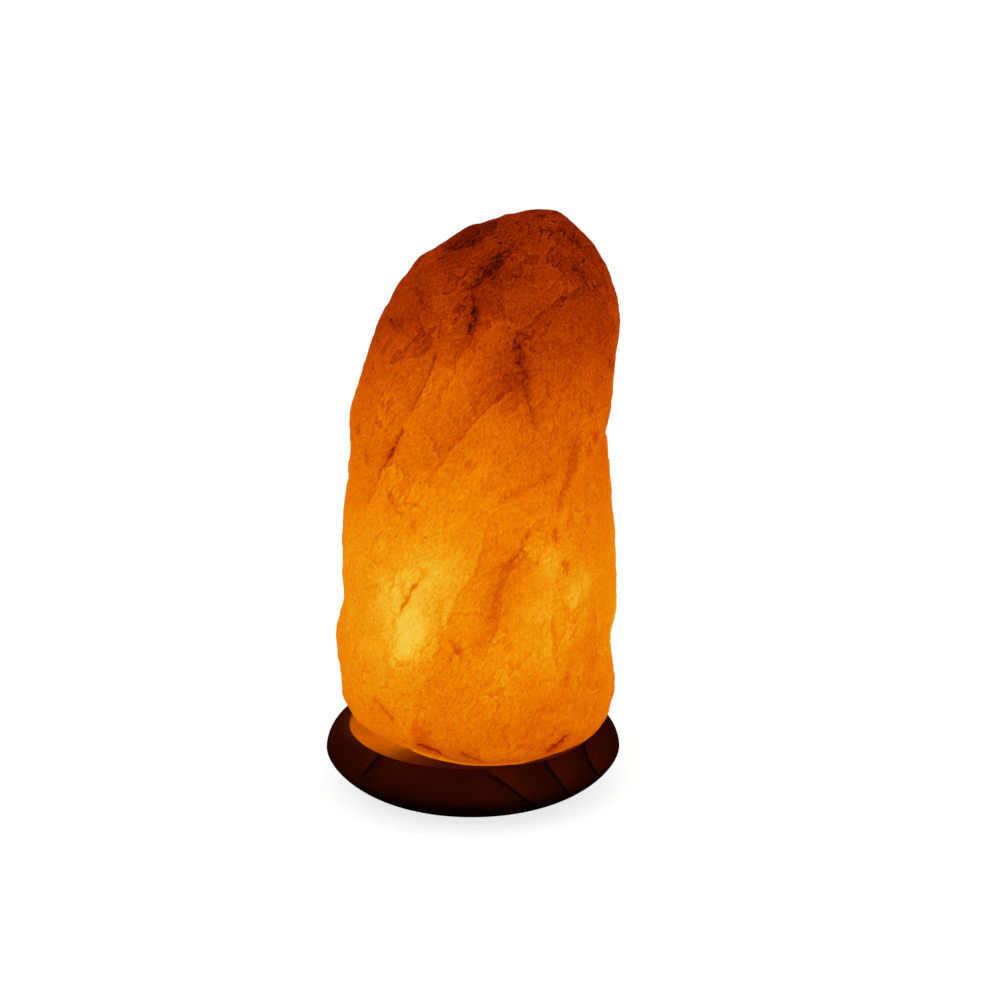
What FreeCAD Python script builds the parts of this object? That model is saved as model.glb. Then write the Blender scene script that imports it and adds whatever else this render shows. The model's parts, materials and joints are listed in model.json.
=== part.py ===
import FreeCAD, Part
import math
import os

from FreeCAD import Placement, Rotation, Vector

os.makedirs("parts", exist_ok=True)

# Table lamp hewn from one block of rock salt, standing in a turned wooden
# dish and lit from inside by a small screw bulb. The bulb's holder is pushed
# up through the base and held by a sprung butterfly clip.
#
# Millimetres. Z is up from the floor, X runs to the lamp's right seen from
# the front, and the front faces -Y. The Z axis is the axis of the base.

UP = Vector(0, 0, 1)
ALONG_Y = Vector(0, 1, 0)
ORIGIN = Vector(0, 0, 0)

# --- Fits shared by several pieces --------------------------------------------
MOVING_GAP = 0.35
PUSH_FIT = 0.1
PIERCE = 1.0
TOUCHING = 1e-6

# --- Flats round the small turned pieces, which stay hidden ---------------------
ROUND_FLATS = 32
SLENDER_FLATS = 16

# --- Feet -----------------------------------------------------------------------
FOOT_COUNT = 4
FOOT_HEIGHT = 3.0
FOOT_DIAMETER = 12.0
FOOT_EDGE_MARGIN = 3.0

# --- Wooden base ------------------------------------------------------------------
BASE_DIAMETER = 150.0
BASE_HEIGHT = 28.5
UNDERSIDE_WIDTH = 19.0
UNDERSIDE_RISE = 15.5
UNDERSIDE_FULLNESS = 1.4
SHOULDER_FULLNESS = 1.7
RIM_INSET = 11.8
RIM_LAND = 2.2
DISH_DEPTH = 8.0
DISH_SLOPE_WIDTH = 9.0

# --- Way through the middle for the bulb holder -------------------------------------
WELL_DIAMETER = 48.0
BORE_STEP = 1.0
BORE_DEPTH = 122.0
BORE_DOME = 9.0

# --- Groove under the base for the supply cord ----------------------------------------
GROOVE_WIDTH = 10.0
GROOVE_DEPTH = 8.0

# --- Screws that hold the crystal down ------------------------------------------------
SCREW_COUNT = 3
FIRST_SCREW_TURN = 30.0
SCREW_WALL = 9.5
SCREW_DIAMETER = 4.0
SCREW_LENGTH = 38.0
SCREW_CLEARANCE = 0.3
SCREW_HEAD_DIAMETER = 9.0
SCREW_HEAD_HEIGHT = 2.6
COUNTERBORE_DIAMETER = 11.0
COUNTERBORE_DEPTH = 6.0
PLUG_DIAMETER = 8.0
PLUG_LENGTH = 25.0
PLUG_POCKET_SPARE = 4.0

# --- Bulb holder ------------------------------------------------------------------------
CORD_ROOM = 9.0
CAP_RADIUS = 14.0
CAP_HEIGHT = 12.0
CAP_WALL = 2.0
CAP_FLOOR = 3.0
CAP_TAPER = 5.0
CAP_NOSE_RADIUS = 9.5
CORD_INLET_RADIUS = 4.0
SHELL_RADIUS = 14.0
SHELL_HEIGHT = 32.0
SHELL_WALL = 4.0
PLATE_RISE = 7.0
PLATE_THICKNESS = 3.0
COLLAR_REACH = 1.6
COLLAR_THICKNESS = 2.0
LINER_THICKNESS = 0.5
LINER_DROP = 1.5
LINER_LEG_WIDTH = 4.0
CONTACT_WIDTH = 4.0
CONTACT_THICKNESS = 0.4
CONTACT_RISE = 2.6
CONTACT_REACH = 5.6
TERMINAL_WIDTH = 5.0
TERMINAL_DEPTH = 5.0
TERMINAL_HEIGHT = 6.0
TERMINAL_OVERHANG = 0.15
TERMINAL_SCREW_DIAMETER = 3.0
TERMINAL_SCREW_HEAD = 1.4

# --- Butterfly clip ---------------------------------------------------------------------
CLIP_RING_THICKNESS = 1.2
CLIP_RING_HEIGHT = 6.0
CLIP_SEAT_DEPTH = 0.6
WING_THICKNESS = 0.6
WING_WIDTH = 12.0
WING_GAP_IN_WELL = 0.4
WING_ROOT_DROP = 1.0
WING_GRIP_HEIGHT = 9.0
WING_LIP_DROP = 5.0
WING_LIP_TUCK = 3.2
WING_CORNER = 2.0

# --- Screw bulb -------------------------------------------------------------------------
BULB_DIAMETER = 28.0
BULB_LENGTH = 58.0
BULB_GLASS = 0.7
BULB_SHOULDER_RISE = 2.0
BULB_SEAL_DEPTH = 4.0
BULB_CAP_RADIUS = 6.7
BULB_CAP_WALL = 0.4
BULB_CAP_HEIGHT = 14.0
BULB_INSULATOR_HEIGHT = 2.2
BULB_INSULATOR_DIAMETER = 10.4
BULB_TIP_RADIUS = 2.4
BULB_TIP_HEIGHT = 1.2
BULB_STEM_RADIUS = 2.4
BULB_STEM_HEIGHT = 15.0
STEM_FLARE_HEIGHT = 4.0
LEAD_RADIUS = 0.3
LEAD_SPREAD = 6.0
LEAD_HEIGHT = 12.0
FILAMENT_RADIUS = 0.5
FILAMENT_BOW = 3.0

# --- Crystal ------------------------------------------------------------------------------
CRYSTAL_HEIGHT = 269.0
DRAWN_HEIGHT = 269.0
DRAWN_DISH_RADIUS = 63.2
SEATED_HEIGHT = 22.0
OUTLINE_CORNERS = 22
HEWN_DEPTH = 1.1

# Each row is a level of the block as drawn: height above its sawn foot, then
# the left, right, front and back reach from the axis, how square the outline
# is (2 is an ellipse) and how far its corners lean round, in degrees.
CRYSTAL_LEVELS = (
    (0.0, -44.0, 50.0, -43.0, 46.0, 2.2, 0.0),
    (6.0, -52.0, 58.0, -52.5, 53.0, 2.3, 2.0),
    (13.0, -61.8, 67.4, -62.5, 59.0, 2.4, 4.0),
    (22.0, -65.4, 71.2, -67.0, 62.0, 2.5, 6.0),
    (35.0, -66.8, 73.0, -69.0, 64.0, 2.5, 7.0),
    (48.0, -68.2, 70.6, -69.8, 65.0, 2.4, 6.0),
    (60.0, -69.2, 69.8, -69.5, 65.5, 2.4, 4.0),
    (73.0, -65.6, 72.2, -68.5, 65.5, 2.4, 1.0),
    (88.0, -65.3, 72.8, -67.0, 65.0, 2.4, -1.0),
    (104.0, -65.4, 72.2, -66.0, 64.5, 2.4, -3.0),
    (120.0, -63.8, 71.0, -65.0, 63.5, 2.4, -5.0),
    (135.0, -62.6, 69.8, -63.5, 62.5, 2.4, -6.0),
    (150.0, -61.0, 68.6, -61.5, 61.5, 2.3, -5.0),
    (160.0, -60.4, 66.4, -60.0, 61.0, 2.3, -3.0),
    (172.0, -60.6, 68.6, -58.0, 60.0, 2.4, 0.0),
    (186.0, -56.2, 69.6, -54.5, 59.0, 2.4, 3.0),
    (200.0, -52.0, 71.4, -50.0, 57.5, 2.4, 6.0),
    (214.0, -47.4, 73.0, -44.0, 55.0, 2.3, 8.0),
    (226.0, -40.5, 71.6, -38.0, 52.0, 2.3, 9.0),
    (237.0, -32.5, 68.8, -31.0, 48.0, 2.2, 10.0),
    (246.0, -25.0, 63.8, -24.0, 43.0, 2.2, 9.0),
    (254.0, -13.5, 60.2, -16.0, 35.0, 2.1, 8.0),
    (261.0, -2.5, 51.5, -9.0, 27.5, 2.0, 5.0),
    (266.0, 20.0, 46.5, -3.0, 20.0, 2.0, 2.0),
    (269.0, 28.5, 39.0, 3.0, 12.0, 2.0, 0.0),
)

# Broad flats struck off the block: the way each one faces, as a turn about
# the axis from +X and a tilt up from level, and how deep it is struck below
# the block's outermost point that way.
CHIPS = (
    (-150.0, 30.0, 3.6),
    (-112.0, 40.0, 3.4),
    (-72.0, 34.0, 3.0),
    (-44.0, -6.0, 2.4),
    (-124.0, -4.0, 2.6),
    (-80.0, 9.0, 1.8),
    (40.0, 24.0, 4.2),
    (84.0, 32.0, 4.6),
    (128.0, 36.0, 4.4),
    (60.0, -3.0, 2.8),
    (108.0, 6.0, 2.4),
    (142.0, -12.0, 3.0),
)

# --- Sizes that follow from the ones above ----------------------------------------------
base_radius = BASE_DIAMETER / 2
base_bottom = FOOT_HEIGHT
rim_top = base_bottom + BASE_HEIGHT
rim_radius = base_radius - RIM_INSET
dish_floor = rim_top - DISH_DEPTH
dish_floor_radius = rim_radius - DISH_SLOPE_WIDTH
well_radius = WELL_DIAMETER / 2
bore_radius = well_radius + BORE_STEP
bore_top = dish_floor + BORE_DEPTH
plan_scale = rim_radius / DRAWN_DISH_RADIUS
height_scale = (CRYSTAL_HEIGHT - SEATED_HEIGHT) / (DRAWN_HEIGHT - SEATED_HEIGHT)

foot_ring_radius = base_radius - UNDERSIDE_WIDTH - FOOT_EDGE_MARGIN - FOOT_DIAMETER / 2
screw_ring_radius = bore_radius + SCREW_WALL
screw_seat = base_bottom + COUNTERBORE_DEPTH

cap_bottom = base_bottom + CORD_ROOM
cap_top = cap_bottom + CAP_HEIGHT
cap_inner_radius = CAP_RADIUS - CAP_WALL
shell_top = cap_top + SHELL_HEIGHT
plate_bottom = cap_top + PLATE_RISE
plate_top = plate_bottom + PLATE_THICKNESS
chamber_radius = SHELL_RADIUS - SHELL_WALL
liner_outer_radius = BULB_CAP_RADIUS + MOVING_GAP + LINER_THICKNESS
socket_radius = liner_outer_radius + PUSH_FIT
terminal_offset = liner_outer_radius + TERMINAL_OVERHANG - TERMINAL_WIDTH / 2
contact_top = plate_top + CONTACT_RISE

clip_seat_radius = SHELL_RADIUS - CLIP_SEAT_DEPTH
clip_ring_radius = clip_seat_radius + CLIP_RING_THICKNESS
clip_ring_top = plate_top + CLIP_RING_HEIGHT
clip_ring_bottom = clip_ring_top - CLIP_RING_HEIGHT
wing_half_width = WING_WIDTH / 2
wing_reach = math.sqrt((well_radius - WING_GAP_IN_WELL) ** 2 - wing_half_width ** 2)
wing_root_radius = clip_ring_radius + MOVING_GAP

bulb_bottom = contact_top + MOVING_GAP
bulb_top = bulb_bottom + BULB_LENGTH
bulb_radius = BULB_DIAMETER / 2
bulb_neck_radius = BULB_CAP_RADIUS - BULB_CAP_WALL - PUSH_FIT
insulator_radius = BULB_INSULATOR_DIAMETER / 2
bulb_cap_bottom = bulb_bottom + BULB_TIP_HEIGHT + BULB_INSULATOR_HEIGHT
bulb_cap_top = bulb_cap_bottom + BULB_CAP_HEIGHT
filament_height = bulb_top - bulb_radius
bulb_seal = bulb_cap_top - BULB_SEAL_DEPTH
stem_top = bulb_seal + BULB_STEM_HEIGHT
lead_top = stem_top + LEAD_HEIGHT


# --- Small helpers ------------------------------------------------------------------------
def save(name, shape):
    """Write one named piece as its own STEP file."""
    shape.exportStep("parts/" + name + ".step")


def cylinder(radius, bottom, top, x=0.0, y=0.0):
    """Upright cylinder between two heights."""
    return Part.makeCylinder(radius, top - bottom, Vector(x, y, bottom))


def box(x_range, y_range, z_range):
    """Box between two corners given as ranges."""
    return Part.makeBox(
        x_range[1] - x_range[0],
        y_range[1] - y_range[0],
        z_range[1] - z_range[0],
        Vector(x_range[0], y_range[0], z_range[0]),
    )


def turned(points):
    """Solid turned about the Z axis from a closed outline of (radius, height)."""
    corners = [Vector(radius, 0, height) for radius, height in points]
    corners.append(corners[0])
    face = Part.Face(Part.makePolygon(corners))
    return face.revolve(ORIGIN, UP, 360)


def rod(points, radius):
    """Round wire that follows a line of points."""
    path = Part.Wire(Part.makePolygon(points).Edges)
    heading = points[1] - points[0]
    ring = Part.Wire([Part.makeCircle(radius, points[0], heading)])
    return path.makePipeShell([ring], True, False, 1)


def flat(*corners):
    """Flat face with the given corners."""
    return Part.Face(Part.makePolygon(list(corners) + [corners[0]]))


def closed_solid(faces):
    """Solid bounded by faces that meet edge to edge."""
    solid = Part.Solid(Part.Shell(faces))
    if solid.Volume < 0:
        solid.reverse()
    return solid


def turned_in_flats(points, flats, x=0.0, y=0.0):
    """Like turned, but in flats and about an upright axis through (x, y)."""
    middle = Vector(x, y, 0)
    faces = []
    for (near, low), (far, high) in zip(points, points[1:] + points[:1]):
        if max(near, far) < TOUCHING:
            continue
        for index in range(flats):
            first = 360 * index / flats
            second = 360 * (index + 1) / flats
            corners = []
            for radius, height, turn in (
                (near, low, first), (near, low, second), (far, high, second), (far, high, first),
            ):
                corner = middle + Vector(*on_ring(radius, turn), height)
                if all(corner.distanceToPoint(other) > TOUCHING for other in corners):
                    corners.append(corner)
            faces.append(flat(*corners))
    return closed_solid(faces)


def swept(centre, start, end, steps, fullness=2.0):
    """Points of a quarter round about a centre: 2 is an oval, and less is flatter."""
    points = []
    for step in range(steps + 1):
        angle = math.pi / 2 * step / steps
        first = math.cos(angle) ** (2 / fullness)
        second = math.sin(angle) ** (2 / fullness)
        points.append((
            centre[0] + start[0] * first + end[0] * second,
            centre[1] + start[1] * first + end[1] * second,
        ))
    return points


def on_ring(radius, turn):
    """Point at a radius and a turn in degrees from +X."""
    angle = math.radians(turn)
    return radius * math.cos(angle), radius * math.sin(angle)


def facing(turn, tilt):
    """Unit vector turned about Z from +X, then tilted up from level."""
    level = math.cos(math.radians(tilt))
    return Vector(
        level * math.cos(math.radians(turn)),
        level * math.sin(math.radians(turn)),
        math.sin(math.radians(tilt)),
    )


# --- Crystal ------------------------------------------------------------------------------
def hewn(level, corner):
    """How far one corner of the block stands out, between -1 and 1."""
    return math.sin(12.9898 * level + 78.233 * corner) * math.cos(37.719 * corner - 4.1 * level)


def level_height(height):
    """Height of a drawn level: what sits in the dish keeps its own, the rest stretches."""
    if height < SEATED_HEIGHT:
        return dish_floor + height
    return dish_floor + SEATED_HEIGHT + (height - SEATED_HEIGHT) * height_scale


def level_corners(level, row):
    """Corners of the block's outline at one level."""
    height, left, right, front, back, power, lean = row
    centre_x = (left + right) / 2
    centre_y = (front + back) / 2
    half_x = (right - left) / 2
    half_y = (back - front) / 2
    corners = []
    for corner in range(OUTLINE_CORNERS):
        angle = 2 * math.pi * (corner + 0.5 * (level % 2)) / OUTLINE_CORNERS
        swing = angle + math.radians(lean) * math.sin(2 * angle)
        across = math.cos(swing)
        along = math.sin(swing)
        size = (abs(across) ** power + abs(along) ** power) ** (-1 / power)
        depth = HEWN_DEPTH * (hewn(level, corner) - 1) / 2
        corners.append(Vector(
            plan_scale * (centre_x + (half_x + depth) * size * across),
            plan_scale * (centre_y + (half_y + depth) * size * along),
            level_height(height),
        ))
    return corners


def make_block():
    """The hewn block before it is drilled: small flats between staggered corners."""
    levels = [level_corners(index, row) for index, row in enumerate(CRYSTAL_LEVELS)]
    faces = []
    for index in range(len(levels) - 1):
        lower = levels[index]
        upper = levels[index + 1]
        ahead = index % 2
        for corner in range(OUTLINE_CORNERS):
            following = (corner + 1) % OUTLINE_CORNERS
            if ahead:
                faces.append(flat(lower[corner], upper[following], upper[corner]))
                faces.append(flat(lower[corner], lower[following], upper[following]))
            else:
                faces.append(flat(lower[corner], lower[following], upper[corner]))
                faces.append(flat(lower[following], upper[following], upper[corner]))
    faces.append(flat(*levels[0]))
    faces.append(flat(*levels[-1]))
    return closed_solid(faces)


def strike(block, turn, tilt, depth):
    """Take one broad flat off the block."""
    direction = facing(turn, tilt)
    farthest = max(direction.dot(vertex.Point) for vertex in block.Vertexes)
    size = 3 * CRYSTAL_HEIGHT
    waste = Part.makeBox(size, size, size, Vector(-size / 2, -size / 2, 0))
    waste.Placement = Placement(direction * (farthest - depth), Rotation(UP, direction)).multiply(
        waste.Placement
    )
    return block.cut(waste)


def make_crystal():
    """Hewn block, drilled for the bulb and for the three plugs."""
    crystal = make_block()
    for turn, tilt, depth in CHIPS:
        crystal = strike(crystal, turn, tilt, depth)
    bore = turned([
        (0.0, dish_floor - PIERCE),
        (bore_radius, dish_floor - PIERCE),
        (bore_radius, bore_top - BORE_DOME),
        (bore_radius * 0.72, bore_top - BORE_DOME * 0.3),
        (0.0, bore_top),
    ])
    crystal = crystal.cut(bore)
    for x, y in screw_places():
        pocket = cylinder(
            PLUG_DIAMETER / 2 + PUSH_FIT,
            dish_floor - PIERCE,
            dish_floor + PLUG_LENGTH + PLUG_POCKET_SPARE,
            x,
            y,
        )
        crystal = crystal.cut(pocket)
    return crystal


def screw_places():
    """Where the three screws stand."""
    step = 360 / SCREW_COUNT
    return [on_ring(screw_ring_radius, FIRST_SCREW_TURN + step * i) for i in range(SCREW_COUNT)]


def foot_places():
    """Where the four feet stand."""
    step = 360 / FOOT_COUNT
    return [on_ring(foot_ring_radius, step / 2 + step * i) for i in range(FOOT_COUNT)]


# --- Base ---------------------------------------------------------------------------------
def make_base():
    """Turned dish with its well, screw holes and cord groove."""
    widest = base_bottom + UNDERSIDE_RISE
    flat_radius = base_radius - UNDERSIDE_WIDTH
    rim_outer = rim_radius + RIM_LAND
    outline = [(well_radius, base_bottom)]
    outline += swept(
        (flat_radius, widest), (0.0, -UNDERSIDE_RISE), (UNDERSIDE_WIDTH, 0.0),
        4, UNDERSIDE_FULLNESS,
    )
    outline += swept(
        (rim_outer, widest), (base_radius - rim_outer, 0.0), (0.0, rim_top - widest),
        3, SHOULDER_FULLNESS,
    )[1:]
    outline += swept((dish_floor_radius, rim_top), (DISH_SLOPE_WIDTH, 0.0), (0.0, -DISH_DEPTH), 3)
    outline.append((well_radius, dish_floor))
    base = turned(outline)
    for x, y in screw_places():
        hole = cylinder(
            SCREW_DIAMETER / 2 + SCREW_CLEARANCE, base_bottom, dish_floor + PIERCE, x, y,
        )
        counterbore = cylinder(
            COUNTERBORE_DIAMETER / 2, base_bottom - PIERCE, screw_seat, x, y,
        )
        base = base.cut(hole).cut(counterbore)
    groove_spring = base_bottom + GROOVE_DEPTH - GROOVE_WIDTH / 2
    groove = box(
        (-GROOVE_WIDTH / 2, GROOVE_WIDTH / 2),
        (0.0, base_radius + PIERCE),
        (base_bottom - PIERCE, groove_spring),
    )
    vault = Part.makeCylinder(
        GROOVE_WIDTH / 2, base_radius + PIERCE, Vector(0, 0, groove_spring), ALONG_Y,
    )
    return base.cut(groove.fuse(vault))


def make_foot(x, y):
    """Round pad under the base."""
    radius = FOOT_DIAMETER / 2
    return turned_in_flats(
        [(0.0, 0.0), (radius, 0.0), (radius, FOOT_HEIGHT), (0.0, FOOT_HEIGHT)],
        ROUND_FLATS,
        x,
        y,
    )


# --- Crystal fastenings ---------------------------------------------------------------------
def make_screw(x, y):
    """Washer-head screw driven up through the base into its plug."""
    head_radius = SCREW_HEAD_DIAMETER / 2
    shank_radius = SCREW_DIAMETER / 2
    outline = [
        (0.0, screw_seat - SCREW_HEAD_HEIGHT),
        (head_radius, screw_seat - SCREW_HEAD_HEIGHT),
        (head_radius, screw_seat),
        (shank_radius, screw_seat),
        (shank_radius, screw_seat + SCREW_LENGTH),
        (0.0, screw_seat + SCREW_LENGTH),
    ]
    return turned_in_flats(outline, SLENDER_FLATS, x, y)


def make_plug(x, y):
    """Plug that lines the pocket in the salt and takes the screw."""
    plug_top = dish_floor + PLUG_LENGTH
    outer = PLUG_DIAMETER / 2
    inner = SCREW_DIAMETER / 2
    outline = [(inner, dish_floor), (outer, dish_floor), (outer, plug_top), (inner, plug_top)]
    return turned_in_flats(outline, SLENDER_FLATS, x, y)


# --- Holder -----------------------------------------------------------------------------------
def make_holder_cap():
    """Lower cup of the holder, with the cord inlet in its nose."""
    shoulder = cap_bottom + CAP_TAPER
    cup = turned_in_flats([
        (0.0, cap_bottom),
        (CAP_NOSE_RADIUS, cap_bottom),
        (CAP_RADIUS, shoulder),
        (CAP_RADIUS, cap_top),
        (cap_inner_radius, cap_top),
        (cap_inner_radius, cap_bottom + CAP_FLOOR),
        (0.0, cap_bottom + CAP_FLOOR),
    ], ROUND_FLATS)
    inlet = cylinder(CORD_INLET_RADIUS, cap_bottom - PIERCE, cap_top)
    return cup.cut(inlet).removeSplitter()


def make_holder_shell():
    """Upper tube of the holder, with its contact plate, clip seat and collar."""
    shell = turned_in_flats([
        (chamber_radius, cap_top),
        (SHELL_RADIUS, cap_top),
        (SHELL_RADIUS, clip_ring_bottom),
        (clip_seat_radius, clip_ring_bottom),
        (clip_seat_radius, clip_ring_top),
        (SHELL_RADIUS + COLLAR_REACH, clip_ring_top),
        (SHELL_RADIUS + COLLAR_REACH, clip_ring_top + COLLAR_THICKNESS),
        (SHELL_RADIUS, clip_ring_top + COLLAR_THICKNESS),
        (SHELL_RADIUS, shell_top),
        (socket_radius, shell_top),
        (socket_radius, plate_top),
        (0.0, plate_top),
        (0.0, plate_bottom),
        (chamber_radius, plate_bottom),
    ], ROUND_FLATS)
    leg_slot = box(
        (-liner_outer_radius, -liner_outer_radius + LINER_THICKNESS),
        (-LINER_LEG_WIDTH / 2, LINER_LEG_WIDTH / 2),
        (plate_bottom - PIERCE, plate_top + PIERCE),
    )
    tail_slot = box(
        (CONTACT_REACH, CONTACT_REACH + CONTACT_THICKNESS),
        (-CONTACT_WIDTH / 2, CONTACT_WIDTH / 2),
        (plate_bottom - PIERCE, plate_top + PIERCE),
    )
    return shell.cut(leg_slot).cut(tail_slot).removeSplitter()


def make_thread_liner():
    """Brass sleeve the bulb screws into, with a leg down to its terminal."""
    inner = liner_outer_radius - LINER_THICKNESS
    liner_top = shell_top - LINER_DROP
    liner = turned_in_flats([
        (inner, plate_top),
        (liner_outer_radius, plate_top),
        (liner_outer_radius, liner_top),
        (inner, liner_top),
    ], ROUND_FLATS)
    leg = box(
        (-liner_outer_radius, -inner),
        (-LINER_LEG_WIDTH / 2, LINER_LEG_WIDTH / 2),
        (plate_bottom, plate_top + LINER_THICKNESS),
    )
    return liner.fuse(leg).removeSplitter()


def make_centre_contact():
    """Bowed bronze tongue under the bulb's tip, with a tail through the plate."""
    top = contact_top
    low = plate_top
    thick = CONTACT_THICKNESS
    profile = [
        (-CONTACT_REACH, low),
        (-CONTACT_REACH + 2.0, low),
        (-1.8, top - thick),
        (1.8, top - thick),
        (3.6, low + thick),
        (CONTACT_REACH, low + thick),
        (CONTACT_REACH, plate_bottom),
        (CONTACT_REACH + thick, plate_bottom),
        (CONTACT_REACH + thick, low + 2 * thick),
        (4.2, low + 2 * thick),
        (2.0, top),
        (-2.0, top),
        (-CONTACT_REACH + 1.8, low + thick),
        (-CONTACT_REACH, low + thick),
    ]
    corners = [Vector(x, -CONTACT_WIDTH / 2, z) for x, z in profile]
    corners.append(corners[0])
    face = Part.Face(Part.makePolygon(corners))
    return face.extrude(Vector(0, CONTACT_WIDTH, 0))


def make_terminal(side):
    """Brass terminal block under the contact plate."""
    x = side * terminal_offset
    return box(
        (x - TERMINAL_WIDTH / 2, x + TERMINAL_WIDTH / 2),
        (-TERMINAL_DEPTH / 2, TERMINAL_DEPTH / 2),
        (plate_bottom - TERMINAL_HEIGHT, plate_bottom),
    )


def make_terminal_screw(side):
    """Head of the screw that clamps one conductor in its block."""
    middle = plate_bottom - TERMINAL_HEIGHT / 2
    near = -TERMINAL_DEPTH / 2 - TERMINAL_SCREW_HEAD
    corners = []
    for index in range(SLENDER_FLATS):
        x, z = on_ring(TERMINAL_SCREW_DIAMETER / 2, 360 * index / SLENDER_FLATS)
        corners.append(Vector(side * terminal_offset + x, near, middle + z))
    return flat(*corners).extrude(Vector(0, TERMINAL_SCREW_HEAD, 0))


def make_clip_ring():
    """Steel band of the clip, in its seat under the collar."""
    return turned_in_flats([
        (clip_seat_radius, clip_ring_bottom),
        (clip_ring_radius, clip_ring_bottom),
        (clip_ring_radius, clip_ring_top),
        (clip_seat_radius, clip_ring_top),
    ], ROUND_FLATS)


def make_wing(side):
    """Sprung wing: down and outward from the band, then tucked in at the lip."""
    root_top = clip_ring_top - WING_ROOT_DROP
    grip = base_bottom + WING_GRIP_HEIGHT
    lip = grip - WING_LIP_DROP
    thick = WING_THICKNESS
    profile = [
        (wing_root_radius, root_top),
        (wing_root_radius, root_top - 3.0),
        (wing_reach - thick, grip + 1.2),
        (wing_reach - thick, grip),
        (wing_reach - WING_LIP_TUCK, lip + 0.2),
        (wing_reach - WING_LIP_TUCK + thick, lip),
        (wing_reach, grip - 0.2),
        (wing_reach, grip + 1.4),
        (wing_root_radius + thick, root_top - 2.8),
        (wing_root_radius + thick, root_top),
    ]
    corners = [Vector(side * x, -wing_half_width, z) for x, z in profile]
    corners.append(corners[0])
    wing = Part.Face(Part.makePolygon(corners)).extrude(Vector(0, WING_WIDTH, 0))
    for edge_side in (-1, 1):
        corner = Part.Face(Part.makePolygon([
            Vector(0, edge_side * (wing_half_width + PIERCE), lip - PIERCE),
            Vector(0, edge_side * (wing_half_width - WING_CORNER), lip - PIERCE),
            Vector(0, edge_side * (wing_half_width + PIERCE), lip + WING_CORNER + PIERCE),
            Vector(0, edge_side * (wing_half_width + PIERCE), lip - PIERCE),
        ])).extrude(Vector(side * 2 * well_radius, 0, 0))
        wing = wing.cut(corner)
    return wing


# --- Bulb -------------------------------------------------------------------------------------
def bulb_wall(inset, steps):
    """Points of the glass outline from its foot to the crown, set in by a wall."""
    neck = bulb_neck_radius - inset
    belly_radius = bulb_radius - inset
    shoulder = bulb_cap_top + BULB_SHOULDER_RISE
    half_way = ((neck + belly_radius) / 2, (shoulder + filament_height) / 2)
    swell = (belly_radius - half_way[0], filament_height - half_way[1])
    points = [(neck, bulb_seal)]
    points += swept((neck + swell[0], shoulder), (-swell[0], 0.0), (0.0, swell[1]), steps)[:-1]
    points += swept((half_way[0], filament_height), (0.0, -swell[1]), (swell[0], 0.0), steps)
    points += swept((0.0, filament_height), (belly_radius, 0.0), (0.0, belly_radius), 2 * steps)[1:]
    return points


def make_bulb_glass():
    """Hollow glass envelope."""
    return turned_in_flats(bulb_wall(0.0, 3) + bulb_wall(BULB_GLASS, 2)[::-1], ROUND_FLATS)


def make_bulb_cap():
    """Thin brass screw cap, closed in under the insulator."""
    inner = BULB_CAP_RADIUS - BULB_CAP_WALL
    return turned_in_flats([
        (insulator_radius, bulb_cap_bottom),
        (BULB_CAP_RADIUS, bulb_cap_bottom),
        (BULB_CAP_RADIUS, bulb_cap_top),
        (inner, bulb_cap_top),
        (inner, bulb_cap_bottom + BULB_CAP_WALL),
        (insulator_radius, bulb_cap_bottom + BULB_CAP_WALL),
    ], ROUND_FLATS)


def make_bulb_insulator():
    """Black glass plug between the cap and the tip."""
    return turned_in_flats([
        (0.0, bulb_bottom + BULB_TIP_HEIGHT + MOVING_GAP),
        (BULB_TIP_RADIUS, bulb_bottom + BULB_TIP_HEIGHT + MOVING_GAP),
        (insulator_radius, bulb_cap_bottom),
        (insulator_radius, bulb_cap_bottom + BULB_CAP_WALL),
        (0.0, bulb_cap_bottom + BULB_CAP_WALL),
    ], ROUND_FLATS)


def make_bulb_tip():
    """Solder button at the foot of the bulb."""
    return turned_in_flats([
        (0.0, bulb_bottom),
        (BULB_TIP_RADIUS * 0.7, bulb_bottom),
        (BULB_TIP_RADIUS, bulb_bottom + BULB_TIP_HEIGHT),
        (0.0, bulb_bottom + BULB_TIP_HEIGHT),
    ], ROUND_FLATS)


def make_bulb_stem():
    """Glass stem sealed into the neck."""
    flare = bulb_neck_radius - BULB_GLASS
    return turned_in_flats([
        (0.0, bulb_seal),
        (flare, bulb_seal),
        (BULB_STEM_RADIUS, bulb_seal + STEM_FLARE_HEIGHT),
        (BULB_STEM_RADIUS, stem_top),
        (0.0, stem_top),
    ], ROUND_FLATS)


def make_lead(side):
    """Lead wire from the stem out to one end of the filament."""
    start = Vector(side * BULB_STEM_RADIUS * 0.4, 0, stem_top)
    end = Vector(side * LEAD_SPREAD, 0, lead_top)
    return rod([start, end], LEAD_RADIUS)


def make_filament():
    """Coiled filament, drawn as its round envelope, hung in a bow."""
    level = lead_top + FILAMENT_RADIUS
    return rod([
        Vector(-LEAD_SPREAD, 0, level),
        Vector(-LEAD_SPREAD / 2, 0, level + FILAMENT_BOW),
        Vector(LEAD_SPREAD / 2, 0, level + FILAMENT_BOW),
        Vector(LEAD_SPREAD, 0, level),
    ], FILAMENT_RADIUS)


# --- Write the pieces -------------------------------------------------------------------------
save("salt_crystal", make_crystal())
save("wooden_base", make_base())
for number, (x, y) in enumerate(foot_places(), start=1):
    save("foot_%d" % number, make_foot(x, y))
save("crystal_screws", Part.makeCompound([make_screw(x, y) for x, y in screw_places()]))
save("wall_plugs", Part.makeCompound([make_plug(x, y) for x, y in screw_places()]))

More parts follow.
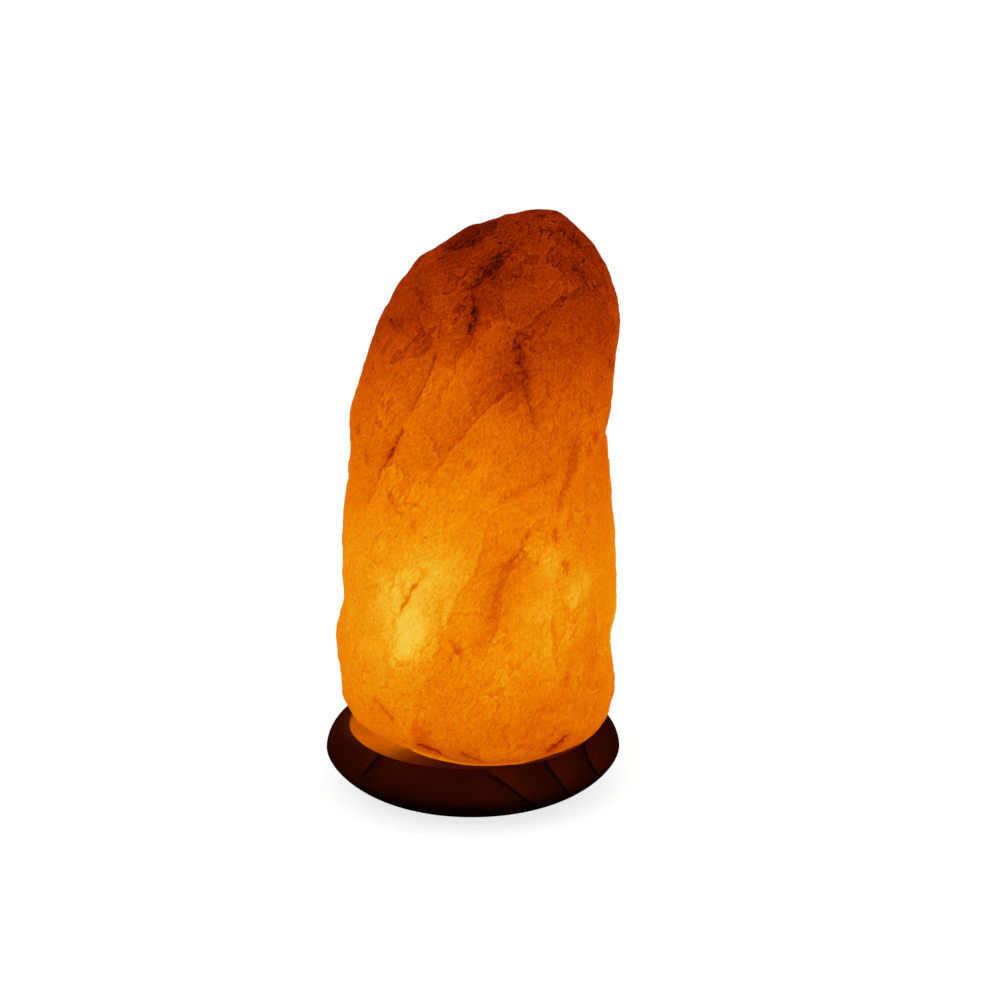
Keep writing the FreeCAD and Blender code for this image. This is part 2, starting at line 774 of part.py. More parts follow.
save("holder_cap", make_holder_cap())
save("holder_shell", make_holder_shell())
save("thread_liner", make_thread_liner())
save("centre_contact", make_centre_contact())
for number, side in enumerate((-1, 1), start=1):
    save("terminal_block_%d" % number, make_terminal(side))
save("terminal_screws", Part.makeCompound([make_terminal_screw(side) for side in (-1, 1)]))
save("clip_ring", make_clip_ring())
for name, side in (("left", -1), ("right", 1)):
    save("clip_wing_" + name, make_wing(side))

save("bulb_tip", make_bulb_tip())
save("bulb_glass", make_bulb_glass())
save("bulb_cap", make_bulb_cap())
save("bulb_insulator", make_bulb_insulator())
save("bulb_stem", make_bulb_stem())
save("bulb_leads", Part.makeCompound([make_lead(side) for side in (-1, 1)]))
save("bulb_filament", make_filament())
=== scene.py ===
"""A rock-salt lamp on a turned wooden dish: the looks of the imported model."""

import json
import logging
import math
from dataclasses import dataclass, field
from enum import Enum

import bmesh
import bpy
import numpy as np
from mathutils import Matrix, Vector, noise


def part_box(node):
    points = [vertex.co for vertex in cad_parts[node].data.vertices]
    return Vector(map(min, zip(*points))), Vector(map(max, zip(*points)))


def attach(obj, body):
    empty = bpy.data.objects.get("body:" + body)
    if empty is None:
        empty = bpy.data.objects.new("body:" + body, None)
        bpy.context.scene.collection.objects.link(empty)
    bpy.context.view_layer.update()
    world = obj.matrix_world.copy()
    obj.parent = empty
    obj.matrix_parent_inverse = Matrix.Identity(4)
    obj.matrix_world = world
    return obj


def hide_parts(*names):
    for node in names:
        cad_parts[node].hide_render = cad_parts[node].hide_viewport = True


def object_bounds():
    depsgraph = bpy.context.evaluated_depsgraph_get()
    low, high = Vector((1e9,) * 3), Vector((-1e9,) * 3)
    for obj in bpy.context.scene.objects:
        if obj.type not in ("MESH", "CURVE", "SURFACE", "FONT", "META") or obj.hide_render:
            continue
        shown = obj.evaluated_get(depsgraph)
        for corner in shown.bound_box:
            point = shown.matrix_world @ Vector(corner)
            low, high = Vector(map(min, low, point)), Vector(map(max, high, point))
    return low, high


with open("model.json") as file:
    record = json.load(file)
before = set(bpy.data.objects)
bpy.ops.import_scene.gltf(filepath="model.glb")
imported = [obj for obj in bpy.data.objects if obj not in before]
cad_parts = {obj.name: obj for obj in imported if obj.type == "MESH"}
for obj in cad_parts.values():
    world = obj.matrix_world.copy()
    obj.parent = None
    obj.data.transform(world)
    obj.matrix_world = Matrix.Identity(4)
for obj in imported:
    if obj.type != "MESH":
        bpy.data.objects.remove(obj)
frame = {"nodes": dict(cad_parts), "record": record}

CAD_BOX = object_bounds()
LOG = logging.getLogger("salt_lamp")
MM = 0.001

BMesh = bmesh.types.BMesh
Mesh = bpy.types.Mesh
Piece = bpy.types.Object
Material = bpy.types.Material
Tree = bpy.types.NodeTree
Node = bpy.types.Node
Socket = bpy.types.NodeSocket
Settings = dict[str | int, object]
Point = tuple[float, float]

# Settings that several nodes share.
SMOOTH: Settings = {"interpolation_type": "SMOOTHSTEP"}
FALLING: Settings = SMOOTH | {"To Min": 1.0, "To Max": 0.0}
BLEND: Settings = {"data_type": "RGBA", "blend_type": "MIX"}
TINT: Settings = {"data_type": "RGBA", "blend_type": "MULTIPLY", "Factor": 1.0}
# The two colour inputs of a mix, by number.
FIRST, SECOND = 6, 7


# ------------------------------------------------------------------ colour and nodes
def to_linear(code: str) -> tuple[float, ...]:
    """Turns an sRGB hex colour such as "#c04a10" to linear, with full opacity last."""
    parts = [int(code[place:place + 2], 16) / 255 for place in (1, 3, 5)]
    return (*(p / 12.92 if p <= 0.04045 else ((p + 0.055) / 1.055) ** 2.4 for p in parts), 1.0)


def set_ramp(node: Node, stops: list[tuple[float, str]]) -> None:
    """Gives a colour ramp its stops.

    Args:
        node: A colour ramp node.
        stops: Place from 0 to 1 and sRGB hex colour of each stop, in order.
    """
    elements = node.color_ramp.elements
    while len(elements) > 1:
        elements.remove(elements[-1])
    elements[0].position = stops[0][0]
    elements[0].color = to_linear(stops[0][1])
    for place, code in stops[1:]:
        elements.new(place).color = to_linear(code)


def add_node(tree: Tree, kind: str, settings: Settings | None = None) -> Node:
    """Adds a node with its settings and links.

    Args:
        tree: Node tree to add to.
        kind: Blender's type name of the node, without its "ShaderNode".
        settings: Values by the name of an attribute, or by the name or number of an input.
            A socket is joined to the input, and so is the first live output of a node.
            The stops of a colour ramp are named "stops".

    Returns:
        The new node.
    """
    node = tree.nodes.new("ShaderNode" + kind)
    for name, value in (settings or {}).items():
        if isinstance(value, Node):
            value = next(socket for socket in value.outputs if socket.enabled)
        if name == "stops":
            set_ramp(node, value)
        elif isinstance(value, Socket):
            tree.links.new(value, node.inputs[name])
        elif isinstance(name, str) and hasattr(node, name):
            setattr(node, name, value)
        else:
            node.inputs[name].default_value = value
    return node


def empty_tree(owner: Material | bpy.types.World) -> Tree:
    """Readies the node tree of a material or a world.

    Args:
        owner: The material or world.

    Returns:
        Its tree, with nothing in it.
    """
    owner.use_nodes = True
    owner.node_tree.nodes.clear()
    return owner.node_tree


@dataclass(frozen=True)
class Finish:
    """What every finish shares: a name and a tree that ends in one surface shader."""

    name: str

    def surface(self, tree: Tree) -> Settings:
        """Adds the finish's own nodes and gives what goes into the surface shader."""
        raise NotImplementedError

    def make(self) -> Material:
        """Builds the material.

        Returns:
            Material with the finish's own nodes and its output.
        """
        material = bpy.data.materials.new(self.name)
        tree = empty_tree(material)
        shader = add_node(tree, "BsdfPrincipled", self.surface(tree))
        add_node(tree, "OutputMaterial", {"Surface": shader})
        return material


@dataclass(frozen=True)
class RockSalt(Finish):
    """Hewn halite, orange from iron and lit from within: it glows more than it reflects."""

    lean_deg: float = 30.0
    fibre_mm: float = 0.85
    flake_mm: float = 17.0
    chip_mm: float = 6.5
    cloud_mm: float = 24.0
    speck_mm: float = 2.0
    fray_mm: float = 2.6

    def surface(self, tree: Tree) -> Settings:
        """Joins the glow, ledges and clefts that the mesh carries to the salt's own bedding.

        Args:
            tree: Node tree to add to.

        Returns:
            What goes into the surface shader.
        """
        place = add_node(tree, "TexCoord").outputs["Object"]
        # Bedding planes lean to the right of upright, so the noise is turned
        # first and drawn out along them after.
        lean = (0.0, -math.radians(self.lean_deg), 0.0)
        turned = add_node(tree, "Mapping", {"Rotation": lean, "Vector": place})
        bedding = add_node(tree, "Mapping", {"Scale": (1.0, 1.0, 0.5), "Vector": turned})
        threads = add_node(tree, "Mapping", {"Scale": (1.0, 1.0, 0.36), "Vector": turned})
        fray, fibres, cloud, swells, ripples, grains = (
            add_node(tree, "TexNoise", {
                "Vector": space, "Scale": 1 / (size_mm * MM), "Detail": detail, "Roughness": rough,
            })
            for space, size_mm, detail, rough in (
                (bedding, self.fray_mm, 4.0, 0.65), (threads, self.fibre_mm, 4.0, 0.6),
                (place, self.cloud_mm, 3.0, 0.5), (bedding, self.flake_mm, 3.0, 0.55),
                (bedding, self.chip_mm, 3.0, 0.55), (bedding, self.speck_mm, 2.0, 0.5),
            )
        )
        glow, rust, ledge_side, ledge_step, cleft_side, cleft_dark = (
            add_node(tree, "Attribute", {"attribute_name": name}).outputs["Fac"]
            for name in ("glow", "rust", "ledge_side", "ledge_step", "cleft_side", "cleft_dark")
        )
        # Small dark grains of clay are caught in the salt.
        specks = add_node(tree, "MapRange", SMOOTH | {"Value": grains, "From Min": 0.67, "From Max": 0.76})
        terms = (
            (fibres, 0.46), (fray, 0.1), (cloud, 0.07),
            (self.flakes(tree, swells, cloud, 6.0), 0.09),
            (self.flakes(tree, ripples, fray, 4.0), 0.055),
            (specks, -0.17),
            (self.hairlines(tree, fray, cloud), -0.1),
            (self.ledges(tree, fray, ledge_side, ledge_step), 1.0),
            (self.clefts(tree, fray, cleft_side, cleft_dark), -1.0),
        )
        # The first three lie around a half, which is taken off again.
        middle = -0.5 * (terms[0][1] + terms[1][1] + terms[2][1])
        level = add_node(tree, "Math", {"operation": "ADD", 0: glow, 1: middle})
        for part, weight in terms:
            level = add_node(tree, "Math", {"operation": "MULTIPLY_ADD", 0: part, 1: weight, 2: level})
        # Ember red where the salt is thick, through orange to pale yellow
        # where the bulb shows through a thin wall.
        ember = add_node(tree, "ValToRGB", {"Fac": level, "stops": [
            (0.00, "#280800"), (0.08, "#681701"), (0.17, "#942800"), (0.27, "#af3a01"),
            (0.37, "#c84e01"), (0.47, "#dc6101"), (0.57, "#eb7602"), (0.67, "#f38c03"),
            (0.77, "#f5a212"), (0.87, "#f8bb2b"), (1.00, "#f8cf4a"),
        ]})
        reddened = add_node(tree, "Mix", BLEND | {
            "Factor": rust, FIRST: ember, SECOND: to_linear("#d42800"),
        })
        # What the salt shows of the room is a dim share of the same colour, so the painted glow (light where
        # the bulb shows through, shade where the salt is thick) is painted into the base colour too.
        glow_painted_base_colour = add_node(tree, "Mix", TINT | {FIRST: reddened, SECOND: to_linear("#817c7c")})
        relief = add_node(tree, "Bump", {"Strength": 0.7, "Distance": 6.0 * MM, "Height": level})
        return {
            "Base Color": glow_painted_base_colour, "Emission Color": reddened, "Emission Strength": 0.84,
            "Roughness": 0.7, "IOR": 1.544, "Specular IOR Level": 0.0, "Normal": relief,
        }

    def flakes(self, tree: Tree, swell: Node, mask: Node, count: float) -> Node:
        """Overlapping flakes as broken salt has, painted into the glow: painted shade just under each edge
        and a painted highlight on its crest.

        Args:
            tree: Node tree to add to.
            swell: Noise that the flakes follow.
            mask: Noise that leaves parts of the face smooth.
            count: Number of flakes from the lowest swell to the highest.

        Returns:
            Shade from -1 to 0.5.
        """
        steps = add_node(tree, "Math", {"operation": "MULTIPLY", 0: swell, 1: count})
        share = add_node(tree, "Math", {"operation": "FRACT", 0: steps})
        under, crest = (
            add_node(tree, "MapRange", SMOOTH | {
                "Value": share, "From Min": start, "From Max": end, "To Min": low, "To Max": high,
            })
            for start, end, low, high in ((0.0, 0.4, -1.0, 0.0), (0.6, 0.97, 0.0, 0.5))
        )
        both = add_node(tree, "Math", {"operation": "ADD", 0: under, 1: crest})
        shown = add_node(tree, "MapRange", SMOOTH | {"Value": mask, "From Min": 0.42, "From Max": 0.6})
        return add_node(tree, "Math", {"operation": "MULTIPLY", 0: both, 1: shown})

    def hairlines(self, tree: Tree, fray: Node, cloud: Node) -> Node:
        """Fine cracks where one noise crosses its middle, kept to some parts by another.

        Args:
            tree: Node tree to add to.
            fray: Noise that the cracks follow.
            cloud: Noise that leaves parts without them.

        Returns:
            1 in a crack's middle.
        """
        off = add_node(tree, "Math", {"operation": "SUBTRACT", 0: fray, 1: 0.53})
        apart = add_node(tree, "Math", {"operation": "ABSOLUTE", 0: off})
        line = add_node(tree, "MapRange", FALLING | {"Value": apart, "From Max": 0.022})
        shown = add_node(tree, "MapRange", SMOOTH | {"Value": cloud, "From Min": 0.62, "From Max": 0.4})
        return add_node(tree, "Math", {"operation": "MULTIPLY", 0: line, 1: shown})

    def ledges(self, tree: Tree, fray: Node, side: Socket, step: Socket) -> Node:
        """Crisp edges of the large flakes, painted into the glow as shade and light.

        Args:
            tree: Node tree to add to.
            fray: Noise that roughens the edges.
            side: The mesh's distance to the nearest edge.
            step: The edge's change of glow.

        Returns:
            Change of glow: the step on the lower side, and the opposite change a quarter as strong along the
                upper side, a painted highlight where the lower side is painted shade.
        """
        frayed = add_node(tree, "Math", {"operation": "MULTIPLY_ADD", 0: fray, 1: 0.9, 2: side})
        below = add_node(tree, "MapRange", SMOOTH | {
            "Value": frayed, "From Min": 0.41, "From Max": 0.52,
        })
        crest = add_node(tree, "MapRange", SMOOTH | {
            "Value": frayed, "From Min": -0.05, "From Max": 0.4, "To Max": -0.25,
        })
        profile = add_node(tree, "Math", {"operation": "MULTIPLY_ADD", 0: below, 1: 1.25, 2: crest})
        return add_node(tree, "Math", {"operation": "MULTIPLY", 0: profile, 1: step})

    def clefts(self, tree: Tree, fray: Node, side: Socket, dark: Socket) -> Node:
        """Cracks and seams.

        Args:
            tree: Node tree to add to.
            fray: Noise that roughens them.
            side: The mesh's distance to the nearest one's middle line.
            dark: How dark that one is.

        Returns:
            How much glow they take away.
        """
        frayed = add_node(tree, "Math", {"operation": "MULTIPLY_ADD", 0: fray, 1: 5.0, 2: side})
        gap = add_node(tree, "Math", {"operation": "SUBTRACT", 0: frayed, 1: 2.5})
        apart = add_node(tree, "Math", {"operation": "ABSOLUTE", 0: gap})
        core = add_node(tree, "MapRange", FALLING | {"Value": apart, "From Min": 0.05, "From Max": 1.4})
        return add_node(tree, "Math", {"operation": "MULTIPLY", 0: core, 1: dark})


@dataclass(frozen=True)
class StainedWood(Finish):
    """Turned hardwood under a dark red-brown stain and thin oil: rings show as darker lines."""

    ring_mm: float = 15.0
    pore_mm: float = 0.7
    patch_mm: float = 34.0
    blotch_mm: float = 26.0
    heart_mm: Point = (-4.0, -12.0)
    dish_mm: float = 63.0

    def surface(self, tree: Tree) -> Settings:
        """Adds year rings, pores, the glow that the dish catches and painted shade toward the underside.

        Args:
            tree: Node tree to add to.

        Returns:
            What goes into the surface shader.
        """
        place = add_node(tree, "TexCoord").outputs["Object"]
        spot = add_node(tree, "SeparateXYZ", {0: place})
        # The plank was sawn with its heart below the dish and running from
        # front to back, so the rings arch across the front.
        heart = (-self.heart_mm[0] * MM, 0.0, -self.heart_mm[1] * MM)
        log = add_node(tree, "Mapping", {"Location": heart, "Scale": (1.0, 0.55, 1.0), "Vector": place})
        rings = add_node(tree, "TexWave", {
            "wave_type": "RINGS", "rings_direction": "Y", "wave_profile": "SAW",
            "Scale": 2 * math.pi / (20 * self.ring_mm * MM), "Vector": log,
            "Distortion": 3.4, "Detail": 2.0, "Detail Scale": 0.6, "Detail Roughness": 0.5,
        })
        late_wood = add_node(tree, "ValToRGB", {"Fac": rings.outputs["Fac"], "stops": [
            (0.0, "#461301"), (0.5, "#3c1001"), (0.86, "#330c01"), (0.95, "#0a0200"),
            (1.0, "#3a0f01"),
        ]})
        patchy, pores, blotches = (
            add_node(tree, "TexNoise", {
                "Vector": space, "Scale": 1 / (size_mm * MM), "Detail": detail, "Roughness": rough,
            })
            for space, size_mm, detail, rough in (
                (place, self.patch_mm, 2.0, 0.5), (log, self.pore_mm, 3.0, 0.6),
                (place, self.blotch_mm, 3.0, 0.5),
            )
        )
        # Rings show where the stain took and are lost elsewhere, most of all on the left.
        toward_right = add_node(tree, "Math", {
            "operation": "MULTIPLY_ADD", 0: spot.outputs["X"], 1: 3.2, 2: patchy,
        })
        shown = add_node(tree, "MapRange", SMOOTH | {
            "Value": toward_right, "From Min": 0.36, "From Max": 0.56, "To Min": 0.12,
        })
        ringed = add_node(tree, "Mix", BLEND | {
            "Factor": shown, FIRST: to_linear("#3a0f01"), SECOND: late_wood,
        })
        # The wood is painted darker toward the underside than on the shoulder, as painted shade.
        depth = add_node(tree, "MapRange", SMOOTH | {
            "Value": spot.outputs["Z"], "From Min": 8 * MM, "From Max": 26 * MM,
        })
        stain, streaks, underside_painted_shade = (
            add_node(tree, "ValToRGB", {"Fac": source, "stops": stops})
            for source, stops in (
                (blotches, [(0.3, "#d6d2d2"), (0.7, "#ffffff")]),
                (pores, [(0.32, "#dadada"), (0.62, "#ffffff")]),
                (depth, [(0.0, "#7c7070"), (0.6, "#e0dcdc"), (1.0, "#ffffff")]),
            )
        )
        tone = add_node(tree, "Mix", TINT | {FIRST: stain, SECOND: streaks})
        colour = add_node(tree, "Mix", TINT | {FIRST: ringed, SECOND: tone})
        # Painted shade toward the underside darkens the wood's colour here.
        wood_with_painted_shade = add_node(tree, "Mix", TINT | {FIRST: colour, SECOND: underside_painted_shade})
        warm = add_node(tree, "Mix", TINT | {FIRST: self.caught_glow(tree, place, spot), SECOND: tone})
        relief = add_node(tree, "Bump", {"Strength": 0.2, "Distance": 0.1 * MM, "Height": pores})
        return {
            "Base Color": wood_with_painted_shade, "Emission Color": warm, "Emission Strength": 1.0,
            "Roughness": 0.6, "Specular IOR Level": 0.0, "Normal": relief,
        }

    def caught_glow(self, tree: Tree, place: Socket, spot: Node) -> Node:
        """Orange light that the salt throws into the dish, strongest on the left.

        Args:
            tree: Node tree to add to.
            place: Where a point of the dish is.
            spot: The same, split into its three numbers.

        Returns:
            Colour of the light given back by the wood.
        """
        flat = add_node(tree, "VectorMath", {"operation": "MULTIPLY", 0: place, 1: (1.0, 1.0, 0.0)})
        reach = add_node(tree, "VectorMath", {"operation": "LENGTH", 0: flat}).outputs["Value"]
        rightward = add_node(tree, "Math", {"operation": "DIVIDE", 0: spot.outputs["X"], 1: reach})
        leftward = add_node(tree, "MapRange", {"Value": rightward, "From Min": 1.0, "From Max": -1.0})
        by_side = add_node(tree, "ValToRGB", {"Fac": leftward, "stops": [
            (0.0, "#5c1a02"), (0.3, "#3c0e00"), (0.6, "#441002"), (0.68, "#3c1002"),
            (0.84, "#6a2402"), (0.91, "#983f02"), (0.97, "#de6602"),
        ]})
        # The dish takes it in full, from beyond the well out to the rim, and the rim's
        # land a faint share that dies away within a few millimetres.
        rim = self.dish_mm
        inside, land, beyond_well = (
            add_node(tree, "MapRange", SMOOTH | {
                "Value": reach, "From Min": start_mm * MM, "From Max": end_mm * MM,
                "To Min": low, "To Max": high,
            })
            for start_mm, end_mm, low, high in (
                (rim - 0.6, rim + 0.5, 1.0, 0.0), (rim, rim + 7.0, 0.05, 0.0), (25.0, 40.0, 0.0, 1.0),
            )
        )
        above = add_node(tree, "MapRange", {
            "Value": spot.outputs["Z"], "From Min": 20 * MM, "From Max": 23 * MM,
        })
        share = add_node(tree, "Math", {"operation": "MAXIMUM", 0: inside, 1: land})
        for limit in (beyond_well, above):
            share = add_node(tree, "Math", {"operation": "MULTIPLY", 0: share, 1: limit})
        return add_node(tree, "Mix", BLEND | {
            "Factor": share, FIRST: to_linear("#000000"), SECOND: by_side,
        })


@dataclass(frozen=True)
class PlainSolid(Finish):
    """A solid, even material whose colour and gloss drift a little, as moulded or rolled ones do."""

    colour: str
    shade: str
    roughness: float = 0.5
    metallic: float = 0.0
    blotch_mm: float = 6.0
    grain_mm: float = 0.5
    grain_depth: float = 0.15
    stretch: tuple[float, float, float] = (1.0, 1.0, 1.0)

    def surface(self, tree: Tree) -> Settings:
        """Adds two close colours, an uneven gloss and a fine relief.

        Args:
            tree: Node tree to add to.

        Returns:
            What goes into the surface shader.
        """
        place = add_node(tree, "TexCoord").outputs["Object"]
        along = add_node(tree, "Mapping", {"Scale": self.stretch, "Vector": place})
        blotches, grain = (
            add_node(tree, "TexNoise", {"Vector": along, "Scale": 1 / (size_mm * MM), "Detail": detail})
            for size_mm, detail in ((self.blotch_mm, 3.0), (self.grain_mm, 2.0))
        )
        tint = add_node(tree, "ValToRGB", {
            "Fac": blotches, "stops": [(0.3, self.shade), (0.7, self.colour)],
        })
        gloss = add_node(tree, "MapRange", {
            "Value": blotches,
            "To Min": self.roughness * 0.85, "To Max": min(1.0, self.roughness * 1.15),
        })
        relief = add_node(tree, "Bump", {
            "Strength": self.grain_depth, "Distance": 0.05 * MM, "Height": grain,
        })
        return {"Base Color": tint, "Roughness": gloss, "Metallic": self.metallic, "Normal": relief}


@dataclass(frozen=True)
class LampGlass(Finish):
    """Blown soda-lime glass, clear, with the filament's light caught in it."""

    haze_mm: float = 9.0

    def surface(self, tree: Tree) -> Settings:
        """Adds a faint warm light to the clear glass, uneven as blown walls are.

        Args:
            tree: Node tree to add to.

        Returns:
            What goes into the surface shader.
        """
        place = add_node(tree, "TexCoord").outputs["Object"]
        haze = add_node(tree, "TexNoise", {
            "Vector": place, "Scale": 1 / (self.haze_mm * MM), "Detail": 2.0,
        })
        warm = add_node(tree, "ValToRGB", {"Fac": haze, "stops": [(0.3, "#6b3a10"), (0.7, "#8a5018")]})
        return {
            "Base Color": to_linear("#fff6e6"), "Roughness": 0.03, "IOR": 1.5,
            "Transmission Weight": 1.0, "Emission Color": warm, "Emission Strength": 0.35,
        }


@dataclass(frozen=True)
class HotTungsten(Finish):
    """Coiled tungsten at full heat: yellow-white light, in turns finer than the eye resolves."""

    turn_mm: float = 0.5
    bands_per_scale: float = 3.2

    def surface(self, tree: Tree) -> Settings:
        """Adds light that is banded by the coil's turns.

        Args:
            tree: Node tree to add to.

        Returns:
            What goes into the surface shader.
        """
        place = add_node(tree, "TexCoord").outputs["Object"]
        turns = add_node(tree, "TexWave", {
            "bands_direction": "X", "Vector": place,
            "Scale": 1 / (self.turn_mm * MM) / self.bands_per_scale,
        })
        heat = add_node(tree, "ValToRGB", {
            "Fac": turns.outputs["Fac"], "stops": [(0.0, "#ffb545"), (1.0, "#fff0c0")],
        })
        return {
            "Base Color": to_linear("#3a3632"), "Emission Color": heat, "Emission Strength": 3.0,
        }


# ------------------------------------------------------------------ objects and meshes
def add_object(name: str, data: bpy.types.ID) -> Piece:
    """Puts something new in the scene.

    Args:
        name: Its name.
        data: The mesh, light or camera.

    Returns:
        The new object.
    """
    added = bpy.data.objects.new(name, data)
    bpy.context.scene.collection.objects.link(added)
    return added


def new_piece(name: str, mesh: Mesh, body: str) -> Piece:
    """Puts a finished mesh in the scene, riding on a body.

    Args:
        name: Piece name.
        mesh: Mesh with its place in its vertices.
        body: Name of the CAD body that carries it.

    Returns:
        The new object.
    """
    piece = add_object(name, mesh)
    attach(piece, body)
    return piece


def merged_copy(node: str) -> BMesh:
    """Copies a CAD node's mesh and joins its loose triangles.

    Args:
        node: Name of the CAD node.

    Returns:
        A bmesh with shared vertices.
    """
    mesh = bmesh.new()
    mesh.from_mesh(frame["nodes"][node].data)
    bmesh.ops.remove_doubles(mesh, verts=mesh.verts, dist=1e-6)
    return mesh


def finished(mesh: BMesh, name: str, smooth: bool = True) -> Mesh:
    """Turns a bmesh into a mesh and frees it.

    Args:
        mesh: Mesh to finish.
        name: Name for the result.
        smooth: Whether its faces shade smoothly.

    Returns:
        The mesh.
    """
    result = bpy.data.meshes.new(name)
    for face in mesh.faces:
        face.smooth = smooth
    mesh.to_mesh(result)
    mesh.free()
    return result


def applied(piece: Piece) -> Mesh:
    """Mesh of an object as its modifiers leave it.

    Args:
        piece: Object with modifiers.

    Returns:
        A new mesh.
    """
    bpy.context.view_layer.update()
    graph = bpy.context.evaluated_depsgraph_get()
    return bpy.data.meshes.new_from_object(piece.evaluated_get(graph))


def quarter(start: Point, end: Point, count: int, upright_first: bool, fullness: float = 2.0) -> list[Point]:
    """Points of one quarter of a full or flattened oval between two corners.

    Args:
        start: Radius and height where it begins.
        end: Radius and height where it ends.
        count: Number of points.
        upright_first: Whether the curve leaves its start going up or down, not sideways.
        fullness: 2 for an ellipse, less for a flatter curve.

    Returns:
        Radius and height of each point after the start.
    """
    points = []
    for step in range(1, count + 1):
        angle = math.pi / 2 * step / count
        slow = 1 - math.cos(angle) ** (2 / fullness)
        fast = math.sin(angle) ** (2 / fullness)
        outward, upward = (slow, fast) if upright_first else (fast, slow)
        points.append((
            start[0] + (end[0] - start[0]) * outward,
            start[1] + (end[1] - start[1]) * upward,
        ))
    return points


def spun(outline: list[Point], steps: int, weld_mm: float, closed: bool = False) -> BMesh:
    """Spins an outline round the upright axis.

    Args:
        outline: Radius and height of each corner, in millimetres.
        steps: Number of faces all the way round.
        weld_mm: Corners closer than this are joined.
        closed: Whether the last corner is joined to the first.

    Returns:
        The turned surface, facing outward.
    """
    mesh = bmesh.new()
    corners = [mesh.verts.new((max(r, 0.0) * MM, 0, z * MM)) for r, z in outline]
    after = corners[1:] + corners[:1] if closed else corners[1:]
    edges = [mesh.edges.new(pair) for pair in zip(corners, after)]
    bmesh.ops.spin(
        mesh, geom=corners + edges, cent=(0, 0, 0), axis=(0, 0, 1),
        angle=2 * math.pi, steps=steps, use_merge=True, use_duplicate=False,
    )
    bmesh.ops.remove_doubles(mesh, verts=mesh.verts, dist=weld_mm * MM)
    bmesh.ops.recalc_face_normals(mesh, faces=mesh.faces)
    return mesh


def column(mesh: Mesh, source: str) -> np.ndarray:
    """Reads one thing about every vertex of a mesh.

    Args:
        mesh: Mesh to read.
        source: "co" for places, "normal" for normals.

    Returns:
        Rows of three numbers.
    """
    values = np.empty(len(mesh.vertices) * 3, dtype=np.float32)
    mesh.vertices.foreach_get(source, values)
    return values.reshape(-1, 3).astype(np.float64)


def store(mesh: Mesh, name: str, values: np.ndarray) -> None:
    """Keeps one number per vertex on a mesh, under a name that a material reads."""
    layer = mesh.attributes.new(name, "FLOAT", "POINT")
    layer.data.foreach_set("value", values.astype(np.float32))


def ease(values: np.ndarray, low: float, high: float) -> np.ndarray:
    """Smooth step from 0 at low to 1 at high."""
    share = np.clip((values - low) / (high - low), 0.0, 1.0)
    return share * share * (3 - 2 * share)


# ------------------------------------------------------------------ camera
@dataclass
class PhotoCamera:
    """The photograph's viewpoint, fitted to the rim and foot of the base."""

    distance: float = 1.10
    height: float = 0.48489
    pitch: float = math.radians(16.9952)
    yaw: float = math.radians(0.71984)
    sensor_mm: float = 36.0
    frame_px: float = 1000.0
    focal_px: float = 2314.03

    def axes(self) -> tuple[np.ndarray, np.ndarray, np.ndarray]:
        """Directions to the right, up and forward as the camera sees them."""
        forward = np.array([
            math.sin(self.yaw) * math.cos(self.pitch),
            math.cos(self.yaw) * math.cos(self.pitch),
            -math.sin(self.pitch),
        ])
        right = np.array([math.cos(self.yaw), -math.sin(self.yaw), 0.0])
        return right, np.cross(right, forward), forward

    def place_on_photo(self, points: np.ndarray) -> tuple[np.ndarray, np.ndarray]:
        """Where points of the lamp fall on the photograph.

        Args:
            points: Rows of x, y, z in metres.

        Returns:
            Pixels across and pixels down.
        """
        right, up, forward = self.axes()
        ray = points - np.array([0.0, -self.distance, self.height])
        depth = ray @ forward
        across = self.frame_px / 2 + self.focal_px * (ray @ right) / depth
        down = self.frame_px / 2 - self.focal_px * (ray @ up) / depth
        return across, down

    def set_up(self) -> None:
        """Adds the camera and makes it the scene's own."""
        data = bpy.data.cameras.new("photo_camera")
        data.sensor_fit = "HORIZONTAL"
        data.sensor_width = self.sensor_mm
        data.lens = self.focal_px * self.sensor_mm / self.frame_px
        data.clip_start = 0.01
        data.clip_end = 50.0
        camera = add_object("photo_camera", data)
        camera.location = (0.0, -self.distance, self.height)
        camera.rotation_euler = Vector(self.axes()[2]).to_track_quat("-Z", "Y").to_euler()
        bpy.context.scene.camera = camera


# ------------------------------------------------------------------ crystal
@dataclass(frozen=True)
class Cleft:
    """A crack or dark seam, as a line on the photograph in its pixels."""

    path: tuple[Point, ...]
    width: float
    dark: float
    depth_mm: float = 0.6
    rust: float = 0.0


@dataclass(frozen=True)
class Ledge:
    """Edge of a broken flake: the salt on the left of the line, going along it, lies lower."""

    path: tuple[Point, ...]
    reach: float
    # Change of glow painted on the lower side: painted shade below 0, painted light above 0.
    shade: float
    drop_mm: float = 1.0


@dataclass(frozen=True)
class Patch:
    """A soft oval of the face that is lighter or darker than its height gives."""

    centre: Point
    size: Point
    turn: float
    glow: float
    rust: float = 0.0


